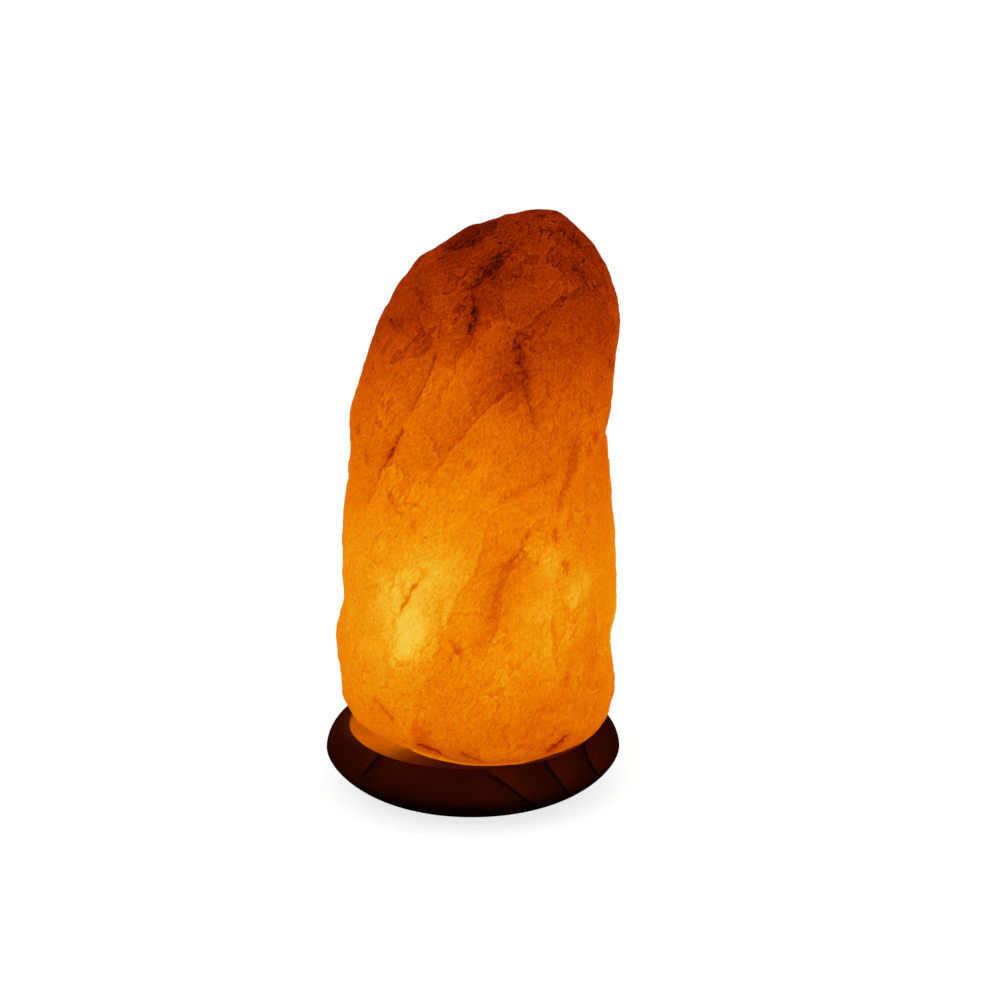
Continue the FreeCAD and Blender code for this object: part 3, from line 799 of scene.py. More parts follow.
CLEFTS: tuple[Cleft, ...] = tuple(Cleft(*row) for row in (
    (((436, 356), (431, 369), (424, 386), (417, 398), (412, 411)), 1.5, 0.13, 1.0),
    (((401, 431), (397, 443), (391, 453), (388, 459)), 2.2, 0.24, 1.4),
    (((388, 459), (380, 471), (375, 484), (368, 503)), 1.3, 0.14, 0.9),
    (((427, 571), (423, 576), (418, 580)), 0.9, 0.12, 0.4),
    (((415, 584), (411, 590), (407, 599), (400, 611)), 1.4, 0.2, 0.8, 0.35),
    (((402, 590), (404, 598)), 0.9, 0.14, 0.3),
    (((400, 612), (395, 620), (393, 630)), 0.8, 0.10, 0.3),
    (((421, 570), (423, 578)), 0.9, 0.12, 0.3),
    (((508, 248), (498, 259), (491, 268), (481, 278), (468, 286)), 6.0, 0.07, 1.6),
    (((497, 262), (489, 270)), 4.5, 0.05, 0.8),
    (((474, 303), (475, 315)), 4.6, 0.12, 1.2),
    (((471, 324), (468, 332)), 1.8, 0.18, 0.8),
    (((517, 345), (520, 358), (524, 376), (527, 394), (531, 410), (534, 424)), 3.6, 0.08, 1.0),
    (((525, 389), (529, 402), (532, 412)), 2.6, 0.09, 0.6),
    (((547, 383), (549, 397)), 1.6, 0.08, 0.4),
    (((576, 448), (573, 466), (567, 486), (561, 503)), 4.0, 0.07, 1.0),
    (((546, 478), (533, 484), (519, 492), (508, 498)), 4.2, 0.07, 0.8),
    (((527, 534), (523, 548), (512, 560), (504, 570)), 3.2, 0.09, 0.8),
    (((500, 586), (495, 603), (490, 620)), 3.0, 0.06, 0.6),
    (((452, 643), (457, 651), (461, 657)), 3.0, 0.11, 0.6),
    (((553, 622), (554, 640), (556, 664)), 2.0, 0.08, 1.0),
    (((566, 563), (568, 570)), 3.0, 0.20, 0.8),
    (((556, 532), (557, 540)), 3.4, 0.12, 0.6),
    (((387, 494), (396, 508), (399, 514)), 2.4, 0.12, 0.6),
    (((408, 504), (418, 506)), 1.8, 0.10, 0.4),
    (((412, 520), (413, 530)), 2.6, 0.09, 0.4),
    (((376, 702), (386, 713), (392, 719)), 1.8, 0.12, 0.6),
    (((416, 747), (428, 753), (436, 757)), 2.6, 0.26, 0.8, 0.3),
    (((548, 751), (560, 742), (566, 737)), 2.4, 0.26, 0.8, 0.3),
    (((462, 756), (470, 760), (480, 762)), 1.8, 0.14, 0.5, 0.2),
    (((480, 700), (470, 712)), 1.0, 0.08, 0.3),
    (((418, 290), (421, 302)), 3.6, 0.08, 0.6),
    (((392, 322), (394, 328)), 2.6, 0.08, 0.4),
    (((402, 318), (401, 331)), 2.6, 0.07, 0.4),
    (((576, 266), (584, 276)), 4.4, 0.06, 0.6),
    (((571, 238), (577, 243)), 2.2, 0.10, 0.4),
    (((518, 276), (526, 278)), 3.4, 0.06, 0.5),
    (((357, 426), (359, 434)), 1.6, 0.12, 0.4),
    (((365, 452), (366, 462)), 1.2, 0.12, 0.3),
    (((611, 360), (612, 366)), 2.2, 0.10, 0.4),
))

LEDGES: tuple[Ledge, ...] = tuple(Ledge(*row) for row in (
    (((440, 468), (447, 456), (456, 446), (466, 437), (477, 421), (489, 409),
      (506, 396)), 26, -0.12, 1.8),
    (((412, 358), (420, 356), (430, 347), (432, 336), (426, 331), (421, 320)), 15, -0.11, 1.4),
    (((433, 342), (441, 334), (443, 322)), 9, -0.10, 0.8),
    (((449, 370), (454, 374), (462, 353), (470, 346), (476, 332)), 20, -0.09, 1.2),
    (((579, 286), (560, 298), (546, 307), (537, 315), (531, 323), (523, 328), (514, 330), (507, 323),
      (506, 307)), 20, -0.09, 1.5),
    (((443, 250), (464, 248), (481, 241), (493, 231), (500, 220)), 30, -0.08, 1.6),
    (((424, 432), (430, 441), (433, 449), (437, 462), (443, 470)), 12, -0.09, 0.8),
    (((483, 537), (477, 560), (472, 576), (461, 589), (453, 600), (449, 618),
      (440, 640)), 30, -0.11, 1.2),
    (((529, 534), (520, 552), (503, 590), (500, 625), (486, 655)), 20, 0.06, 0.9),
    (((368, 503), (379, 474), (391, 455), (401, 430)), 18, -0.07, 1.0),
    (((404, 428), (412, 411), (424, 387), (436, 358)), 14, -0.07, 0.9),
    (((560, 440), (572, 432), (585, 420), (606, 407)), 14, -0.05, 0.9),
    (((560, 534), (562, 513), (570, 489), (577, 470), (581, 445)), 14, -0.08, 1.0),
    (((556, 664), (554, 640), (553, 622), (553, 595)), 12, 0.07, 0.8),
    (((407, 717), (418, 694), (430, 671)), 20, 0.04, 0.8),
    (((487, 687), (474, 700), (462, 712)), 14, 0.04, 0.7),
    (((450, 300), (462, 286), (478, 268), (494, 254), (512, 246)), 14, 0.03, 1.0),
    (((575, 238), (583, 252), (592, 262), (604, 276), (611, 300)), 9, -0.05, 0.8),
    (((438, 395), (446, 388), (452, 376)), 9, -0.05, 0.5),
    (((574, 560), (577, 545), (572, 536)), 9, 0.05, 0.5),
    (((597, 640), (598, 620), (597, 604)), 12, -0.05, 0.6),
))

PATCHES: tuple[Patch, ...] = tuple(Patch(*row) for row in (
    ((410, 637), (13, 26), 12, 0.28),
    ((406, 610), (26, 46), 20, 0.15),
    ((438, 574), (26, 26), 35, 0.13),
    ((392, 590), (16, 40), 20, 0.06),
    ((552, 564), (15, 18), 0, 0.13),
    ((577, 590), (13, 20), 0, 0.11),
    ((536, 612), (15, 14), 0, 0.06),
    ((546, 648), (13, 14), 0, 0.06),
    ((505, 590), (16, 62), 22, -0.15),
    ((462, 598), (12, 30), 22, 0.03),
    ((446, 622), (12, 26), 22, 0.05),
    ((498, 632), (13, 22), 20, -0.05),
    ((511, 372), (20, 38), 16, -0.09),
    ((476, 392), (11, 40), 38, -0.02),
    ((494, 268), (20, 16), 40, -0.04),
    ((475, 312), (16, 22), 0, -0.06),
    ((468, 238), (28, 12), -30, -0.03),
    ((532, 300), (26, 24), 0, 0.03),
    ((424, 350), (12, 16), 0, -0.04),
    ((500, 470), (34, 40), 0, 0.02),
    ((600, 500), (20, 90), 0, 0.0, 0.2),
    ((425, 455), (62, 105), 15, 0.07),
    ((450, 375), (34, 30), 20, 0.1),
    ((425, 520), (60, 40), 0, 0.03),
    ((500, 332), (24, 14), 0, 0.06),
    ((572, 655), (30, 60), 0, -0.03),
    ((594, 437), (3.0, 6), 0, -0.05, 0.75),
    ((588, 452), (3.0, 7), 20, -0.03, 0.6),
    ((601, 462), (14, 26), 0, 0.0, 0.25),
    ((568, 677), (4, 9), 15, -0.03, 0.5),
    ((422, 735), (9, 14), 20, -0.05, 0.45),
    ((545, 710), (6, 5), 0, -0.03, 0.45),
    ((525, 735), (60, 26), 0, 0.0, 0.22),
    ((510, 758), (34, 9), 0, 0.07),
    ((366, 688), (24, 30), 0, 0.04),
    ((596, 680), (14, 32), 0, -0.04),
))

# Millimetres above the foot, and the glow from 0 to 1 that the bulb gives the skin there.
GLOW_BY_HEIGHT: tuple[Point, ...] = (
    (16, 0.35), (24, 0.45), (32, 0.51), (42, 0.58), (56, 0.625), (74, 0.66), (92, 0.69),
    (112, 0.70), (135, 0.67), (160, 0.595), (178, 0.52), (196, 0.48), (212, 0.40), (232, 0.295),
    (250, 0.25), (266, 0.20), (290, 0.13),
)

# The right, left and back are guessed: copies of the front, turned by so many degrees and
# raised by so many millimetres.
UNSEEN_SIDES: tuple[Point, ...] = ((100.0, 14.0), (-100.0, -10.0), (180.0, 0.0))


@dataclass
class Crystal:
    """The hewn block of rock salt, re-cut finer than its CAD flats."""

    camera: PhotoCamera
    node: str = "salt_crystal"
    body: str = "lamp"
    cut_mm: float = 1.37
    rounding_passes: int = 14
    foot_clear_mm: float = 1.0
    bore_clear_mm: float = 40.0
    # Of lumps, chips, grain and wobble: where each pattern starts.
    seeds: tuple[float, ...] = (3.7, 8.2, 1.3, 5.1)
    lump_mm: float = 30.0
    lump_stretch: float = 1.8
    lump_depth_mm: float = 1.1
    chip_mm: float = 10.0
    chip_depth_mm: float = 0.8
    grain_mm: float = 3.2
    grain_stretch: float = 1.6
    grain_depth_mm: float = 0.22
    bedding_deg: float = -38.0
    wobble_mm: float = 7.0
    wobble_px: Point = (2.2, 1.6)
    foot_mm: float = 5.5
    foot_fade_mm: Point = (0.5, 4.0)
    bore_mm: Point = (34.0, 42.0)
    bore_top_mm: float = 150.0
    skin_mm: float = 0.35
    crisp_px: Point = (3.0, 9.0)
    crack_reach: Point = (1.6, 3.4)
    halo_share: float = 0.35
    halo_width: float = 2.2
    lean_from_mm: Point = (120.0, 290.0)
    lean_mm: float = 33.0
    back_from_deg: float = 138.0
    seam_deg: float = 7.0
    undercut_turn: float = -145.0
    undercut_mm: float = 9.0
    undercut_span_deg: Point = (20.0, 70.0)
    undercut_rise_mm: Point = (2.0, 30.0)
    undercut_from_mm: Point = (36.0, 48.0)
    bulb_mm: float = 78.0
    bulb_spread_mm: float = 50.0

    def cut_fine(self, floor: float) -> Mesh:
        """Re-cuts the CAD block into small even faces and rounds off its flats.

        Args:
            floor: Height of the block's foot in metres.

        Returns:
            A fine mesh of the drilled block.
        """
        rough = add_object("rough_block", finished(merged_copy(self.node), "rough_block"))
        cutter = rough.modifiers.new("cut", "REMESH")
        cutter.mode = "VOXEL"
        cutter.voxel_size = self.cut_mm * MM
        fine = applied(rough)
        bpy.data.objects.remove(rough)
        mesh = bmesh.new()
        mesh.from_mesh(fine)
        bpy.data.meshes.remove(fine)
        skin = [v for v in mesh.verts if self.is_skin(v.co, floor)]
        for _ in range(self.rounding_passes):
            bmesh.ops.smooth_vert(
                mesh, verts=skin, factor=0.5, use_axis_x=True, use_axis_y=True, use_axis_z=True,
            )
        return finished(mesh, "crystal")

    def is_skin(self, place: Vector, floor: float) -> bool:
        """Whether a point lies on the block's outside, not in its bore or on its foot."""
        clear = math.hypot(place.x, place.y) > self.bore_clear_mm * MM
        above_foot = place.z > floor + self.foot_clear_mm * MM
        return above_foot and clear or place.z > self.bore_top_mm * MM

    def rough_noise(
        self, places: np.ndarray, size_mm: float, seed: float, stretch: float = 1.0,
    ) -> np.ndarray:
        """Smooth noise between about -1 and 1 over a set of points.

        Args:
            places: Rows of x, y, z in metres.
            size_mm: Size of one swell.
            seed: Shifts the pattern.
            stretch: How far it is drawn out along the block's bedding.

        Returns:
            One number for each point.
        """
        turn = Matrix.Rotation(math.radians(self.bedding_deg), 3, "Y")
        shrink = Matrix.Diagonal(Vector((1.0, 1.0, 1 / stretch)))
        scaled = places @ np.array(shrink @ turn).T / (size_mm * MM) + seed
        return np.array([noise.fractal(Vector(p), 0.8, 2.1, 4) for p in scaled])

    def facet_noise(self, places: np.ndarray, size_mm: float, seed: float) -> np.ndarray:
        """Shallow hollows that meet in crests, as a pick leaves them, from 0 to about 1."""
        scaled = places / (size_mm * MM) + seed
        return np.array([noise.voronoi(Vector(p))[0][0] for p in scaled])

    def line_reach(self, across: np.ndarray, down: np.ndarray, path: tuple[Point, ...]) -> np.ndarray:
        """Signed distance to a line on the photograph.

        Args:
            across: Pixels across of each point.
            down: Pixels down of each point.
            path: Corners of the line.

        Returns:
            Distance in pixels, above 0 on the line's left going along it.
        """
        nearest = np.full(across.shape, 1e9)
        for (x0, y0), (x1, y1) in zip(path, path[1:]):
            length = math.hypot(x1 - x0, y1 - y0)
            unit = ((x1 - x0) / length, (y1 - y0) / length)
            along = np.clip((across - x0) * unit[0] + (down - y0) * unit[1], 0, length)
            gap = np.hypot(across - x0 - along * unit[0], down - y0 - along * unit[1])
            turn = (across - x0) * unit[1] - (down - y0) * unit[0]
            nearest = np.where(gap < np.abs(nearest), np.where(turn < 0, -gap, gap), nearest)
        return nearest

    def face_detail(self, places: np.ndarray, wobble: np.ndarray) -> dict[str, np.ndarray]:
        """Relief, glow, rust and lines that the photograph shows on the face toward it.

        Args:
            places: Rows of x, y, z in metres.
            wobble: Noise that keeps the lines from running straight.

        Returns:
            For each point, by name: millimetres outward, change of glow, rust from 0 to 1,
            and the nearest ledge's and cleft's distance and strength.
        """
        across, down = self.camera.place_on_photo(places)
        across = across + self.wobble_px[0] * wobble
        down = down + self.wobble_px[1] * wobble[::-1]
        names = ("relief", "glow", "rust", "ledge_side", "ledge_step", "cleft_side", "cleft_dark")
        seen = {name: np.zeros(len(places)) for name in names}

        def keep_stronger(step_name: str, step: np.ndarray, side_name: str, side: np.ndarray) -> None:
            """Keeps a line's strength and distance where no stronger line lies."""
            stronger = np.abs(step) > np.abs(seen[step_name])
            seen[step_name] = np.where(stronger, step, seen[step_name])
            seen[side_name] = np.where(stronger, side, seen[side_name])

        for cleft in CLEFTS:
            gap = self.line_reach(across, down, cleft.path) / cleft.width
            core = np.exp(-(gap ** 2))
            seen["relief"] -= cleft.depth_mm * core
            seen["rust"] = np.maximum(seen["rust"], cleft.rust * core)
            near = cleft.dark * (1 - ease(np.abs(gap), *self.crack_reach))
            keep_stronger("cleft_dark", near, "cleft_side", np.clip(gap, -4, 4))
            # Beside each cleft the glow is taken down softly: the crack's own dark core, with a painted
            # shade spread along it.
            seen["glow"] -= self.halo_share * cleft.dark * np.exp(-((gap / self.halo_width) ** 2))
        for ledge in LEDGES:
            gap = self.line_reach(across, down, ledge.path)
            crisp = 1 - ease(np.abs(gap), *self.crisp_px)
            fading = np.exp(-np.abs(gap) / (ledge.reach * 0.6)) * (np.abs(gap) < 3 * ledge.reach)
            low = (gap > 0) * fading
            seen["relief"] -= ledge.drop_mm * low
            # The lower side of each ledge takes its change of glow as painted shade, fading away from the
            # edge; the material paints the crisp part at the edge.
            seen["glow"] += ledge.shade * (low - (gap > 0) * crisp)
            side = np.clip(gap / self.crisp_px[1], -1, 1)
            keep_stronger("ledge_step", crisp * ledge.shade, "ledge_side", side)
        for patch in PATCHES:
            turn = math.radians(patch.turn)
            dx = across - patch.centre[0]
            dy = down - patch.centre[1]
            wide = (dx * math.cos(turn) + dy * math.sin(turn)) / patch.size[0]
            tall = (dy * math.cos(turn) - dx * math.sin(turn)) / patch.size[1]
            core = np.exp(-(wide ** 2 + tall ** 2))
            seen["glow"] += patch.glow * core
            seen["rust"] = np.maximum(seen["rust"], patch.rust * core)
        return seen

    def detail_all_round(
        self, places: np.ndarray, normals: np.ndarray, wobble: np.ndarray,
    ) -> dict[str, np.ndarray]:
        """The photographed face's detail in front, and the same turned and shifted elsewhere.

        Args:
            places: Rows of x, y, z in metres.
            normals: Rows of outward directions.
            wobble: Noise that keeps the lines from running straight.

        Returns:
            What face_detail gives, for the whole block.
        """
        front = ease(-(normals @ self.camera.axes()[2]), -0.05, 0.25)
        lean = np.interp(places[:, 2] / MM, self.lean_from_mm, (0, self.lean_mm)) * MM
        turn = np.degrees(np.arctan2(places[:, 0] - lean, -places[:, 1]))
        others = []
        for turned_deg, lift_mm in UNSEEN_SIDES:
            back = math.radians(-turned_deg)
            others.append(self.face_detail(np.column_stack((
                places[:, 0] * math.cos(back) - places[:, 1] * math.sin(back),
                places[:, 0] * math.sin(back) + places[:, 1] * math.cos(back),
                places[:, 2] + lift_mm * MM,
            )), wobble))
        seam_gap = np.abs(np.abs(turn) - self.back_from_deg)
        flank = np.abs(turn) <= self.back_from_deg
        seen = {}
        for name, values in self.face_detail(places, wobble).items():
            right, left, rear = (side[name] for side in others)
            other = np.select([flank & (turn > 0), flank], [right, left], rear)
            if name.endswith("_side"):
                # Distances don't blend, so each part keeps its own.
                seen[name] = np.where(front > 0.5, values, other)
                continue
            other = other * ease(seam_gap, 0.0, self.seam_deg)
            if name in ("ledge_step", "cleft_dark"):
                seen[name] = np.where(front > 0.5, values, other) * np.abs(2 * front - 1)
            else:
                seen[name] = values * front + other * (1 - front)
        return seen

    def undercut(self, places: np.ndarray, floor: float) -> np.ndarray:
        """Draws the block's foot in at the front left, where it stands clear of the dish.

        Args:
            places: Rows of x, y, z in metres.
            floor: Height of the block's foot in metres.

        Returns:
            The moved places.
        """
        reach = np.maximum(np.hypot(places[:, 0], places[:, 1]), 1e-6)
        turn = np.degrees(np.arctan2(places[:, 1], places[:, 0]))
        away = np.abs((turn - self.undercut_turn + 180) % 360 - 180)
        share = 1 - ease(away, *self.undercut_span_deg)
        share = share * (1 - ease((places[:, 2] - floor) / MM, *self.undercut_rise_mm))
        share = share * ease(reach / MM, *self.undercut_from_mm)
        moved = places.copy()
        moved[:, :2] *= (1 - self.undercut_mm * MM * share / reach)[:, None]
        return moved

    def build(self) -> list[Piece]:
        """Makes the piece.

        Returns:
            The crystal, standing for its CAD node.
        """
        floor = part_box(self.node)[0][2]
        mesh = self.cut_fine(floor)
        places = column(mesh, "co")
        normals = column(mesh, "normal")
        reach = np.hypot(places[:, 0], places[:, 1]) / MM
        outside = np.where(places[:, 2] > self.bore_top_mm * MM, 1.0, ease(reach, *self.bore_mm))
        fade = [floor + height * MM for height in self.foot_fade_mm]
        outside = outside * ease(places[:, 2], *fade)

        lumps = self.rough_noise(places, self.lump_mm, self.seeds[0], self.lump_stretch)
        chips = self.facet_noise(places, self.chip_mm, self.seeds[1])
        grain = self.rough_noise(places, self.grain_mm, self.seeds[2], self.grain_stretch)
        wobble = self.rough_noise(places, self.wobble_mm, self.seeds[3])
        seen = self.detail_all_round(places, normals, wobble)

        outward = (
            self.lump_depth_mm * lumps + self.chip_depth_mm * (chips - 0.55)
            + self.grain_depth_mm * grain + seen["relief"]
        )
        moved = places + normals * (outward * outside * MM)[:, None]
        moved = self.undercut(moved, floor)
        # The skin stays within the CAD block's reach to the sides, and within its height.
        margin = np.array((self.skin_mm, self.skin_mm, 0.0)) * MM
        moved = np.clip(moved, np.array(CAD_BOX[0]) + margin, np.array(CAD_BOX[1]) - margin)
        mesh.vertices.foreach_set("co", moved.astype(np.float32).ravel())
        mesh.update()

        level = np.interp(moved[:, 2] / MM - self.foot_mm, *zip(*GLOW_BY_HEIGHT)) + seen["glow"]
        # Raised lumps, chips and grain glow a little more and their hollows less: painted light on the
        # crests and painted shade in the hollows.
        level += 0.03 * lumps + 0.04 * (chips - 0.5) + 0.015 * grain
        # The bore's wall is lit by the bulb itself.
        bore = 0.45 + 0.5 * np.exp(-(((moved[:, 2] / MM - self.bulb_mm) / self.bulb_spread_mm) ** 2))
        level = level * outside + (1 - outside) * bore
        store(mesh, "glow", np.clip(level, 0.02, 0.98))
        store(mesh, "rust", np.clip(seen["rust"] * outside, 0.0, 1.0))
        for name in ("ledge_side", "cleft_side"):
            store(mesh, name, seen[name])
        for name in ("ledge_step", "cleft_dark"):
            store(mesh, name, seen[name] * outside)
        mesh.materials.append(RockSalt("rock_salt_hewn").make())
        piece = new_piece("crystal", mesh, self.body)
        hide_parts(self.node)
        return [piece]


# ------------------------------------------------------------------ base
@dataclass
class TurnedBase:
    """The turned dish, with smooth rounds in place of the CAD cones."""

    node: str = "wooden_base"
    body: str = "lamp"
    underside_width_mm: float = 19.0
    underside_rise_mm: float = 15.5
    underside_fullness: float = 1.4
    shoulder_fullness: float = 1.7
    rim_inset_mm: float = 11.8
    rim_land_mm: float = 2.2
    # Outward and down from the rim's inner edge, at the top of the dish.
    lip_mm: tuple[Point, ...] = ((0.6, 0.0), (0.1, 0.25), (0.0, 0.3))
    dish_slope_mm: float = 9.0
    dish_depth_mm: float = 8.0
    well_mm: float = 24.0
    chamfer_mm: float = 0.6
    groove_width_mm: float = 10.0
    groove_depth_mm: float = 8.0
    groove_reach_mm: float = 90.0
    channel_height_mm: float = 20.0
    counterbore_mm: float = 5.5
    counterbore_depth_mm: float = 6.0
    screw_ring_mm: float = 34.5
    screw_turns: tuple[float, ...] = (30.0, 150.0, 270.0)
    closing_mm: float = 0.005
    weld_mm: float = 0.001
    steps: int = 192
    round_points: int = 16
    slope_points: int = 10
    drill_segments: int = 48

    def outline(self) -> list[Point]:
        """Radius and height in millimetres round the cut face of the dish."""
        low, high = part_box(self.node)
        radius = high[0] / MM
        bottom = low[2] / MM
        top = high[2] / MM
        flat = radius - self.underside_width_mm
        widest = (radius, bottom + self.underside_rise_mm)
        rim = radius - self.rim_inset_mm
        floor = top - self.dish_depth_mm
        well, chamfer = self.well_mm, self.chamfer_mm
        points = [(well, bottom + chamfer), (well + chamfer, bottom), (flat, bottom)]
        land = (rim + self.rim_land_mm, top)
        points += quarter((flat, bottom), widest, self.round_points, False, self.underside_fullness)
        points += quarter(widest, land, self.round_points, True, self.shoulder_fullness)
        lip = [(rim + outward, top - down) for outward, down in self.lip_mm]
        points += lip[:-1]
        points += quarter(lip[-1], (rim - self.dish_slope_mm, floor), self.slope_points, True)
        points += [(well + chamfer, floor), (well, floor - chamfer)]
        return points

    def cutters(self) -> tuple[BMesh, BMesh]:
        """The cord groove's straight walls, and its vault with the counterbores, to take away."""
        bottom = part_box(self.node)[0][2]
        half_mm = self.groove_width_mm / 2
        spring = bottom + (self.groove_depth_mm - half_mm) * MM
        reach = self.groove_reach_mm * MM
        tall = self.channel_height_mm * MM
        channel = bmesh.new()
        bmesh.ops.create_cube(channel, size=1.0)
        bmesh.ops.scale(channel, vec=(self.groove_width_mm * MM, reach, tall), verts=channel.verts)
        bmesh.ops.translate(channel, vec=(0, reach / 2, spring - tall / 2), verts=channel.verts)
        vault = Matrix.Translation((0, reach / 2, spring)) @ Matrix.Rotation(math.pi / 2, 4, "X")
        rounds = [(half_mm, reach, vault)]
        for turn in self.screw_turns:
            across = self.screw_ring_mm * MM * math.cos(math.radians(turn))
            along = self.screw_ring_mm * MM * math.sin(math.radians(turn))
            hole = Matrix.Translation((across, along, bottom))
            rounds.append((self.counterbore_mm, 2 * self.counterbore_depth_mm * MM, hole))
        drills = bmesh.new()
        for radius_mm, depth, place in rounds:
            bmesh.ops.create_cone(
                drills, cap_ends=True, segments=self.drill_segments, radius1=radius_mm * MM,
                radius2=radius_mm * MM, depth=depth, matrix=place,
            )
        return channel, drills

    def build(self) -> list[Piece]:
        """Makes the piece.

        Returns:
            The base, standing for its CAD node.
        """
        ring = spun(self.outline(), self.steps, self.weld_mm, closed=True)
        channel, drills = self.cutters()
        dish, channel, drills = (
            add_object(name, finished(shape, name))
            for name, shape in (("dish", ring), ("channel", channel), ("drills", drills))
        )
        for cutter in (channel, drills):
            cut = dish.modifiers.new("cut", "BOOLEAN")
            cut.operation = "DIFFERENCE"
            cut.solver = "EXACT"
            # The drills are four solids in one mesh.
            cut.use_self = cutter is drills
            cut.object = cutter
        # The cuts leave a few faces of no area along the groove.
        clean = bmesh.new()
        clean.from_mesh(applied(dish))
        bmesh.ops.remove_doubles(clean, verts=clean.verts, dist=self.closing_mm * MM)
        bmesh.ops.dissolve_degenerate(clean, edges=clean.edges, dist=self.closing_mm * MM)
        mesh = finished(clean, "base")
        for helper in (dish, channel, drills):
            bpy.data.objects.remove(helper)
        mesh.materials.append(StainedWood("stained_turned_wood").make())
        piece = new_piece("base", mesh, self.body)
        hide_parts(self.node)
        return [piece]


# ------------------------------------------------------------------ the rest, from its CAD forms
class Finishes(Enum):
    """The finishes of the small fittings, by the record's slot."""

    # Matt, near black and finely pitted.
    foot_rubber = PlainSolid("moulded_rubber", "#161616", "#0c0c0c", 0.85, grain_depth=0.4)
    # Light grey metal with a soft sheen.
    zinc_steel = PlainSolid("zinc_plated_steel", "#c9c8c2", "#a9a8a4", 0.32, 1.0)
    # Light grey and waxy.
    plug_nylon = PlainSolid("moulded_nylon", "#b5b5b0", "#a2a29c", 0.55)
    # Cream, hard and half glossy.
    holder_plastic = PlainSolid("moulded_thermoset", "#e6e1d4", "#dad4c4", 0.38, blotch_mm=14.0)
    # Yellow metal, dulled where it was pressed.
    contact_brass = PlainSolid("pressed_brass", "#d8b25c", "#b98f42", 0.3, 1.0)
    # Cool grey metal with faint upright streaks.
    spring_steel = PlainSolid(
        "rolled_spring_steel", "#b9bcc0", "#8f9399", 0.28, 1.0, stretch=(1.0, 1.0, 0.12),
    )
    # Dull silver drop with a frosted skin.
    solder = PlainSolid("tin_solder", "#c4c4c4", "#9e9e9e", 0.45, 1.0, grain_depth=0.3)
    # Pale yellow, the shiniest metal here.
    cap_brass = PlainSolid("rolled_brass", "#dcc07a", "#c0a05a", 0.24, 1.0)
    # Black with sharp highlights.
    black_glass = PlainSolid("black_sealing_glass", "#0c0c10", "#050508", 0.12)
    # Thin grey metal, a little dull.
    lead_wire = PlainSolid("drawn_wire", "#a8a49c", "#8a867e", 0.35, 1.0)


@dataclass
class Fittings:
    """Feet, screws, plugs, holder and clip: CAD forms with their edges eased."""

    flat_deg: float = 0.6
    sharp_deg: float = 28.0
    ease_mm: dict[str, float] = field(default_factory=lambda: {
        "foot_1": 0.6, "foot_2": 0.6, "foot_3": 0.6, "foot_4": 0.6,
        "crystal_screws": 0.5, "wall_plugs": 0.3,
        "holder_cap": 0.7, "holder_shell": 0.4, "thread_liner": 0.1,
        "centre_contact": 0.08, "terminal_block_1": 0.3, "terminal_block_2": 0.3,
        "terminal_screws": 0.25, "clip_ring": 0.2, "clip_wing_left": 0.18,
        "clip_wing_right": 0.18, "bulb_cap": 0.1, "bulb_insulator": 0.15, "bulb_tip": 0.3,
    })

    def build(self) -> list[Piece]:
        """Makes the pieces.

        Returns:
            One piece for each node that is eased.
        """
        record = frame["record"]
        slots = {row["node"]: row["material_slot"] for row in record["subparts"]}
        bodies = record["behaviour"]["bodies"]
        carried = {node: body for body, nodes in bodies.items() for node in nodes}
        made: dict[str, Material] = {}
        pieces = []
        for node, width in self.ease_mm.items():
            mesh = merged_copy(node)
            bmesh.ops.dissolve_limit(
                mesh, angle_limit=math.radians(self.flat_deg), use_dissolve_boundaries=False,
                verts=mesh.verts, edges=mesh.edges, delimit=set(),
            )
            sharp = [
                edge for edge in mesh.edges
                if len(edge.link_faces) == 2 and edge.calc_face_angle(0) > math.radians(self.sharp_deg)
            ]
            bmesh.ops.bevel(
                mesh, geom=sharp, offset=width * MM, segments=2, profile=0.5,
                affect="EDGES", clamp_overlap=True, material=-1,
            )
            slot = slots[node]
            if slot not in made:
                made[slot] = Finishes[slot].value.make()
            result = finished(mesh, node)
            result.materials.append(made[slot])
            piece = new_piece("eased_" + node, result, carried[node])
            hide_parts(node)
            pieces.append(piece)
        return pieces


@dataclass
class ScrewBulb:
    """The small bulb: blown glass, its stem, leads and filament."""

    body: str = "bulb"
    wall_mm: float = 0.7
    neck_mm: float = 6.2
    neck_height_mm: float = 6.0
    weld_mm: float = 0.01
    steps: int = 72

    def outline(self) -> list[Point]:
        """Radius and height in millimetres of the outside of the glass, foot to crown."""
        low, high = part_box("bulb_glass")
        belly = high[0] / MM
        foot = low[2] / MM
        crown = high[2] / MM
        shoulder = (self.neck_mm, foot + self.neck_height_mm)
        widest = (belly, crown - belly)
        turning = ((shoulder[0] + widest[0]) / 2, (shoulder[1] + widest[1]) / 2)
        points = [(self.neck_mm, foot), shoulder]
        points += quarter(shoulder, turning, 8, True)
        points += quarter(turning, widest, 8, False)
        points += quarter(widest, (0.0, crown), 12, True)
        return points

    def build(self) -> list[Piece]:
        """Makes the pieces.

        Returns:
            The glass; the stem, leads and filament keep their CAD form.
        """
        mesh = spun(self.outline(), self.steps, self.weld_mm)
        bmesh.ops.solidify(mesh, geom=mesh.faces, thickness=self.wall_mm * MM)
        glass = finished(mesh, "blown_glass")
        clear = LampGlass("clear_soda_lime_glass").make()
        glass.materials.append(clear)
        self.dress("bulb_stem", clear)
        self.dress("bulb_leads", Finishes.lead_wire.value.make())
        self.dress("bulb_filament", HotTungsten("incandescent_tungsten").make())
        piece = new_piece("blown_glass", glass, self.body)
        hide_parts("bulb_glass")
        return [piece]

    def dress(self, node: str, material: Material) -> None:
        """Gives a CAD node that keeps its shape a new material."""
        data = frame["nodes"][node].data
        data.materials.clear()
        data.materials.append(material)


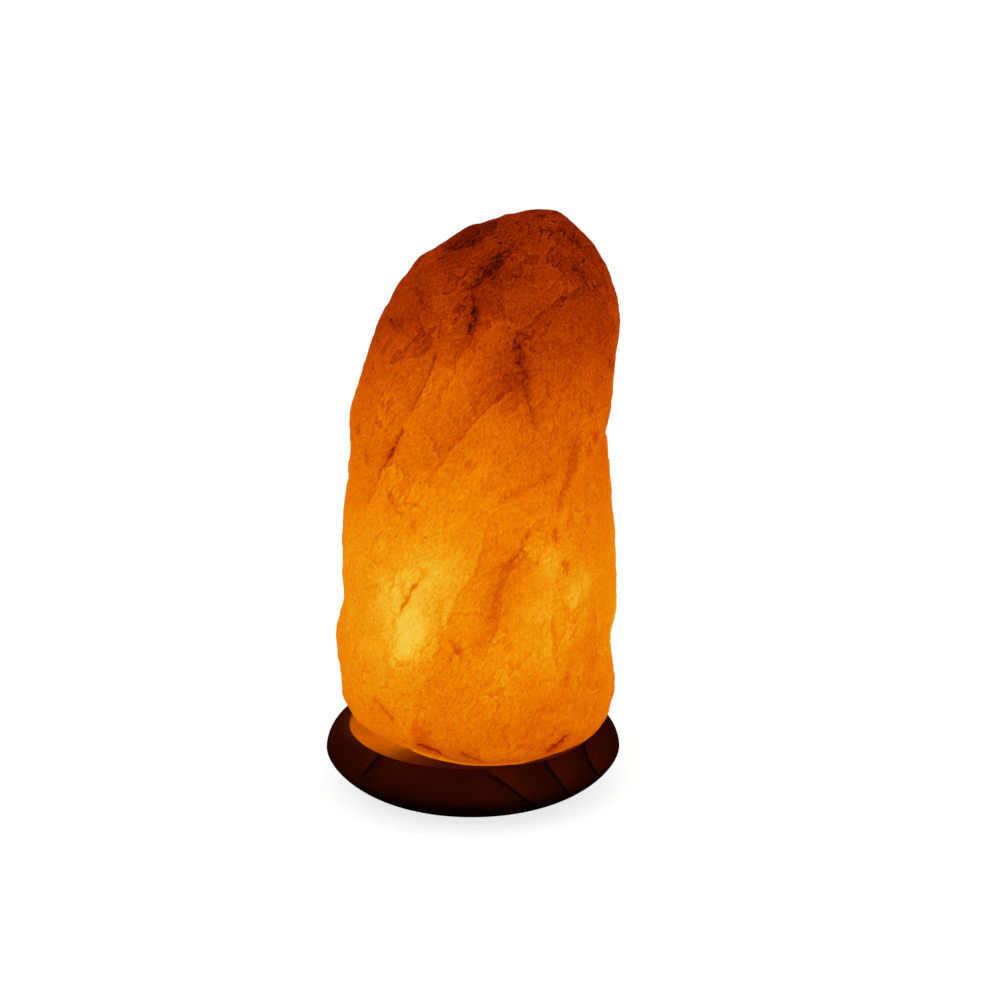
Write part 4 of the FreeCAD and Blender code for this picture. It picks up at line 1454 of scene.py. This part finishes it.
# ------------------------------------------------------------------ studio
@dataclass
class Studio:
    """Plain white floor and soft light at a plain level."""

    sky_strength: float = 0.7
    key_watts: float = 9.0
    fill_watts: float = 4.0
    floor_lift: float = 0.77
    floor_size: float = 30.0
    aim_height: float = 0.12

    def build(self) -> None:
        """Adds the floor, the world and the lamps."""
        mesh = bmesh.new()
        bmesh.ops.create_grid(mesh, x_segments=1, y_segments=1, size=self.floor_size)
        floor = add_object("studio_floor", finished(mesh, "studio_floor", False))
        floor.data.materials.append(self.floor_material())
        self.light_world()
        for name, place, size, watts in (
            ("key", (-0.9, -1.1, 1.5), 1.2, self.key_watts),
            ("fill", (1.1, -0.6, 1.1), 1.4, self.fill_watts),
            ("back", (0.2, 1.4, 1.3), 1.4, self.fill_watts),
        ):
            data = bpy.data.lights.new(name, "AREA")
            data.size = size
            data.energy = watts
            lamp = add_object(name, data)
            lamp.location = place
            aim = Vector((0, 0, self.aim_height)) - Vector(place)
            lamp.rotation_euler = aim.to_track_quat("-Z", "Y").to_euler()

    def seen_directly(self, tree: Tree) -> Node:
        """1 for what the camera sees straight, mirrored or through glass."""
        rays = add_node(tree, "LightPath").outputs
        first = add_node(tree, "Math", {
            "operation": "MAXIMUM", 0: rays["Is Camera Ray"], 1: rays["Is Glossy Ray"],
        })
        return add_node(tree, "Math", {"operation": "MAXIMUM", 0: first, 1: rays["Is Transmission Ray"]})

    def floor_material(self) -> Material:
        """White sheet that shows pure white where no shadow falls.

        Returns:
            The material.
        """
        material = bpy.data.materials.new("white_sheet")
        tree = empty_tree(material)
        paper = add_node(tree, "BsdfDiffuse", {"Color": to_linear("#a0a0a0")})
        share = add_node(tree, "Math", {
            "operation": "MULTIPLY", 0: self.seen_directly(tree), 1: self.floor_lift,
        })
        lift = add_node(tree, "Emission", {"Color": to_linear("#ffffff"), "Strength": share})
        both = add_node(tree, "AddShader", {0: paper, 1: lift})
        # From below the sheet is clear, so that the lamp's underside can be seen.
        clear = add_node(tree, "BsdfTransparent")
        behind = add_node(tree, "NewGeometry").outputs["Backfacing"]
        sheet = add_node(tree, "MixShader", {0: behind, 1: both, 2: clear})
        add_node(tree, "OutputMaterial", {"Surface": sheet})
        return material

    def light_world(self) -> None:
        """White where seen, soft grey light elsewhere."""
        world = bpy.data.worlds.new("studio_world")
        tree = empty_tree(world)
        strength = add_node(tree, "MapRange", {
            "Value": self.seen_directly(tree), "To Min": self.sky_strength, "To Max": 1.0,
        })
        sky = add_node(tree, "Background", {"Color": to_linear("#ffffff"), "Strength": strength})
        add_node(tree, "OutputWorld", {"Surface": sky})
        bpy.context.scene.world = world


def main() -> None:
    """Builds the lamp's pieces in order and reports each, then the studio."""
    logging.basicConfig(level=logging.INFO, format="%(name)s: %(message)s")
    bpy.context.scene.view_settings.view_transform = "Standard"
    camera = PhotoCamera()
    camera.set_up()
    for part in (Crystal(camera), TurnedBase(), Fittings(), ScrewBulb()):
        for piece in part.build():
            LOG.info("%s has %d faces", piece.name, len(piece.data.polygons))
    Studio().build()


if __name__ == "__main__":
    main()
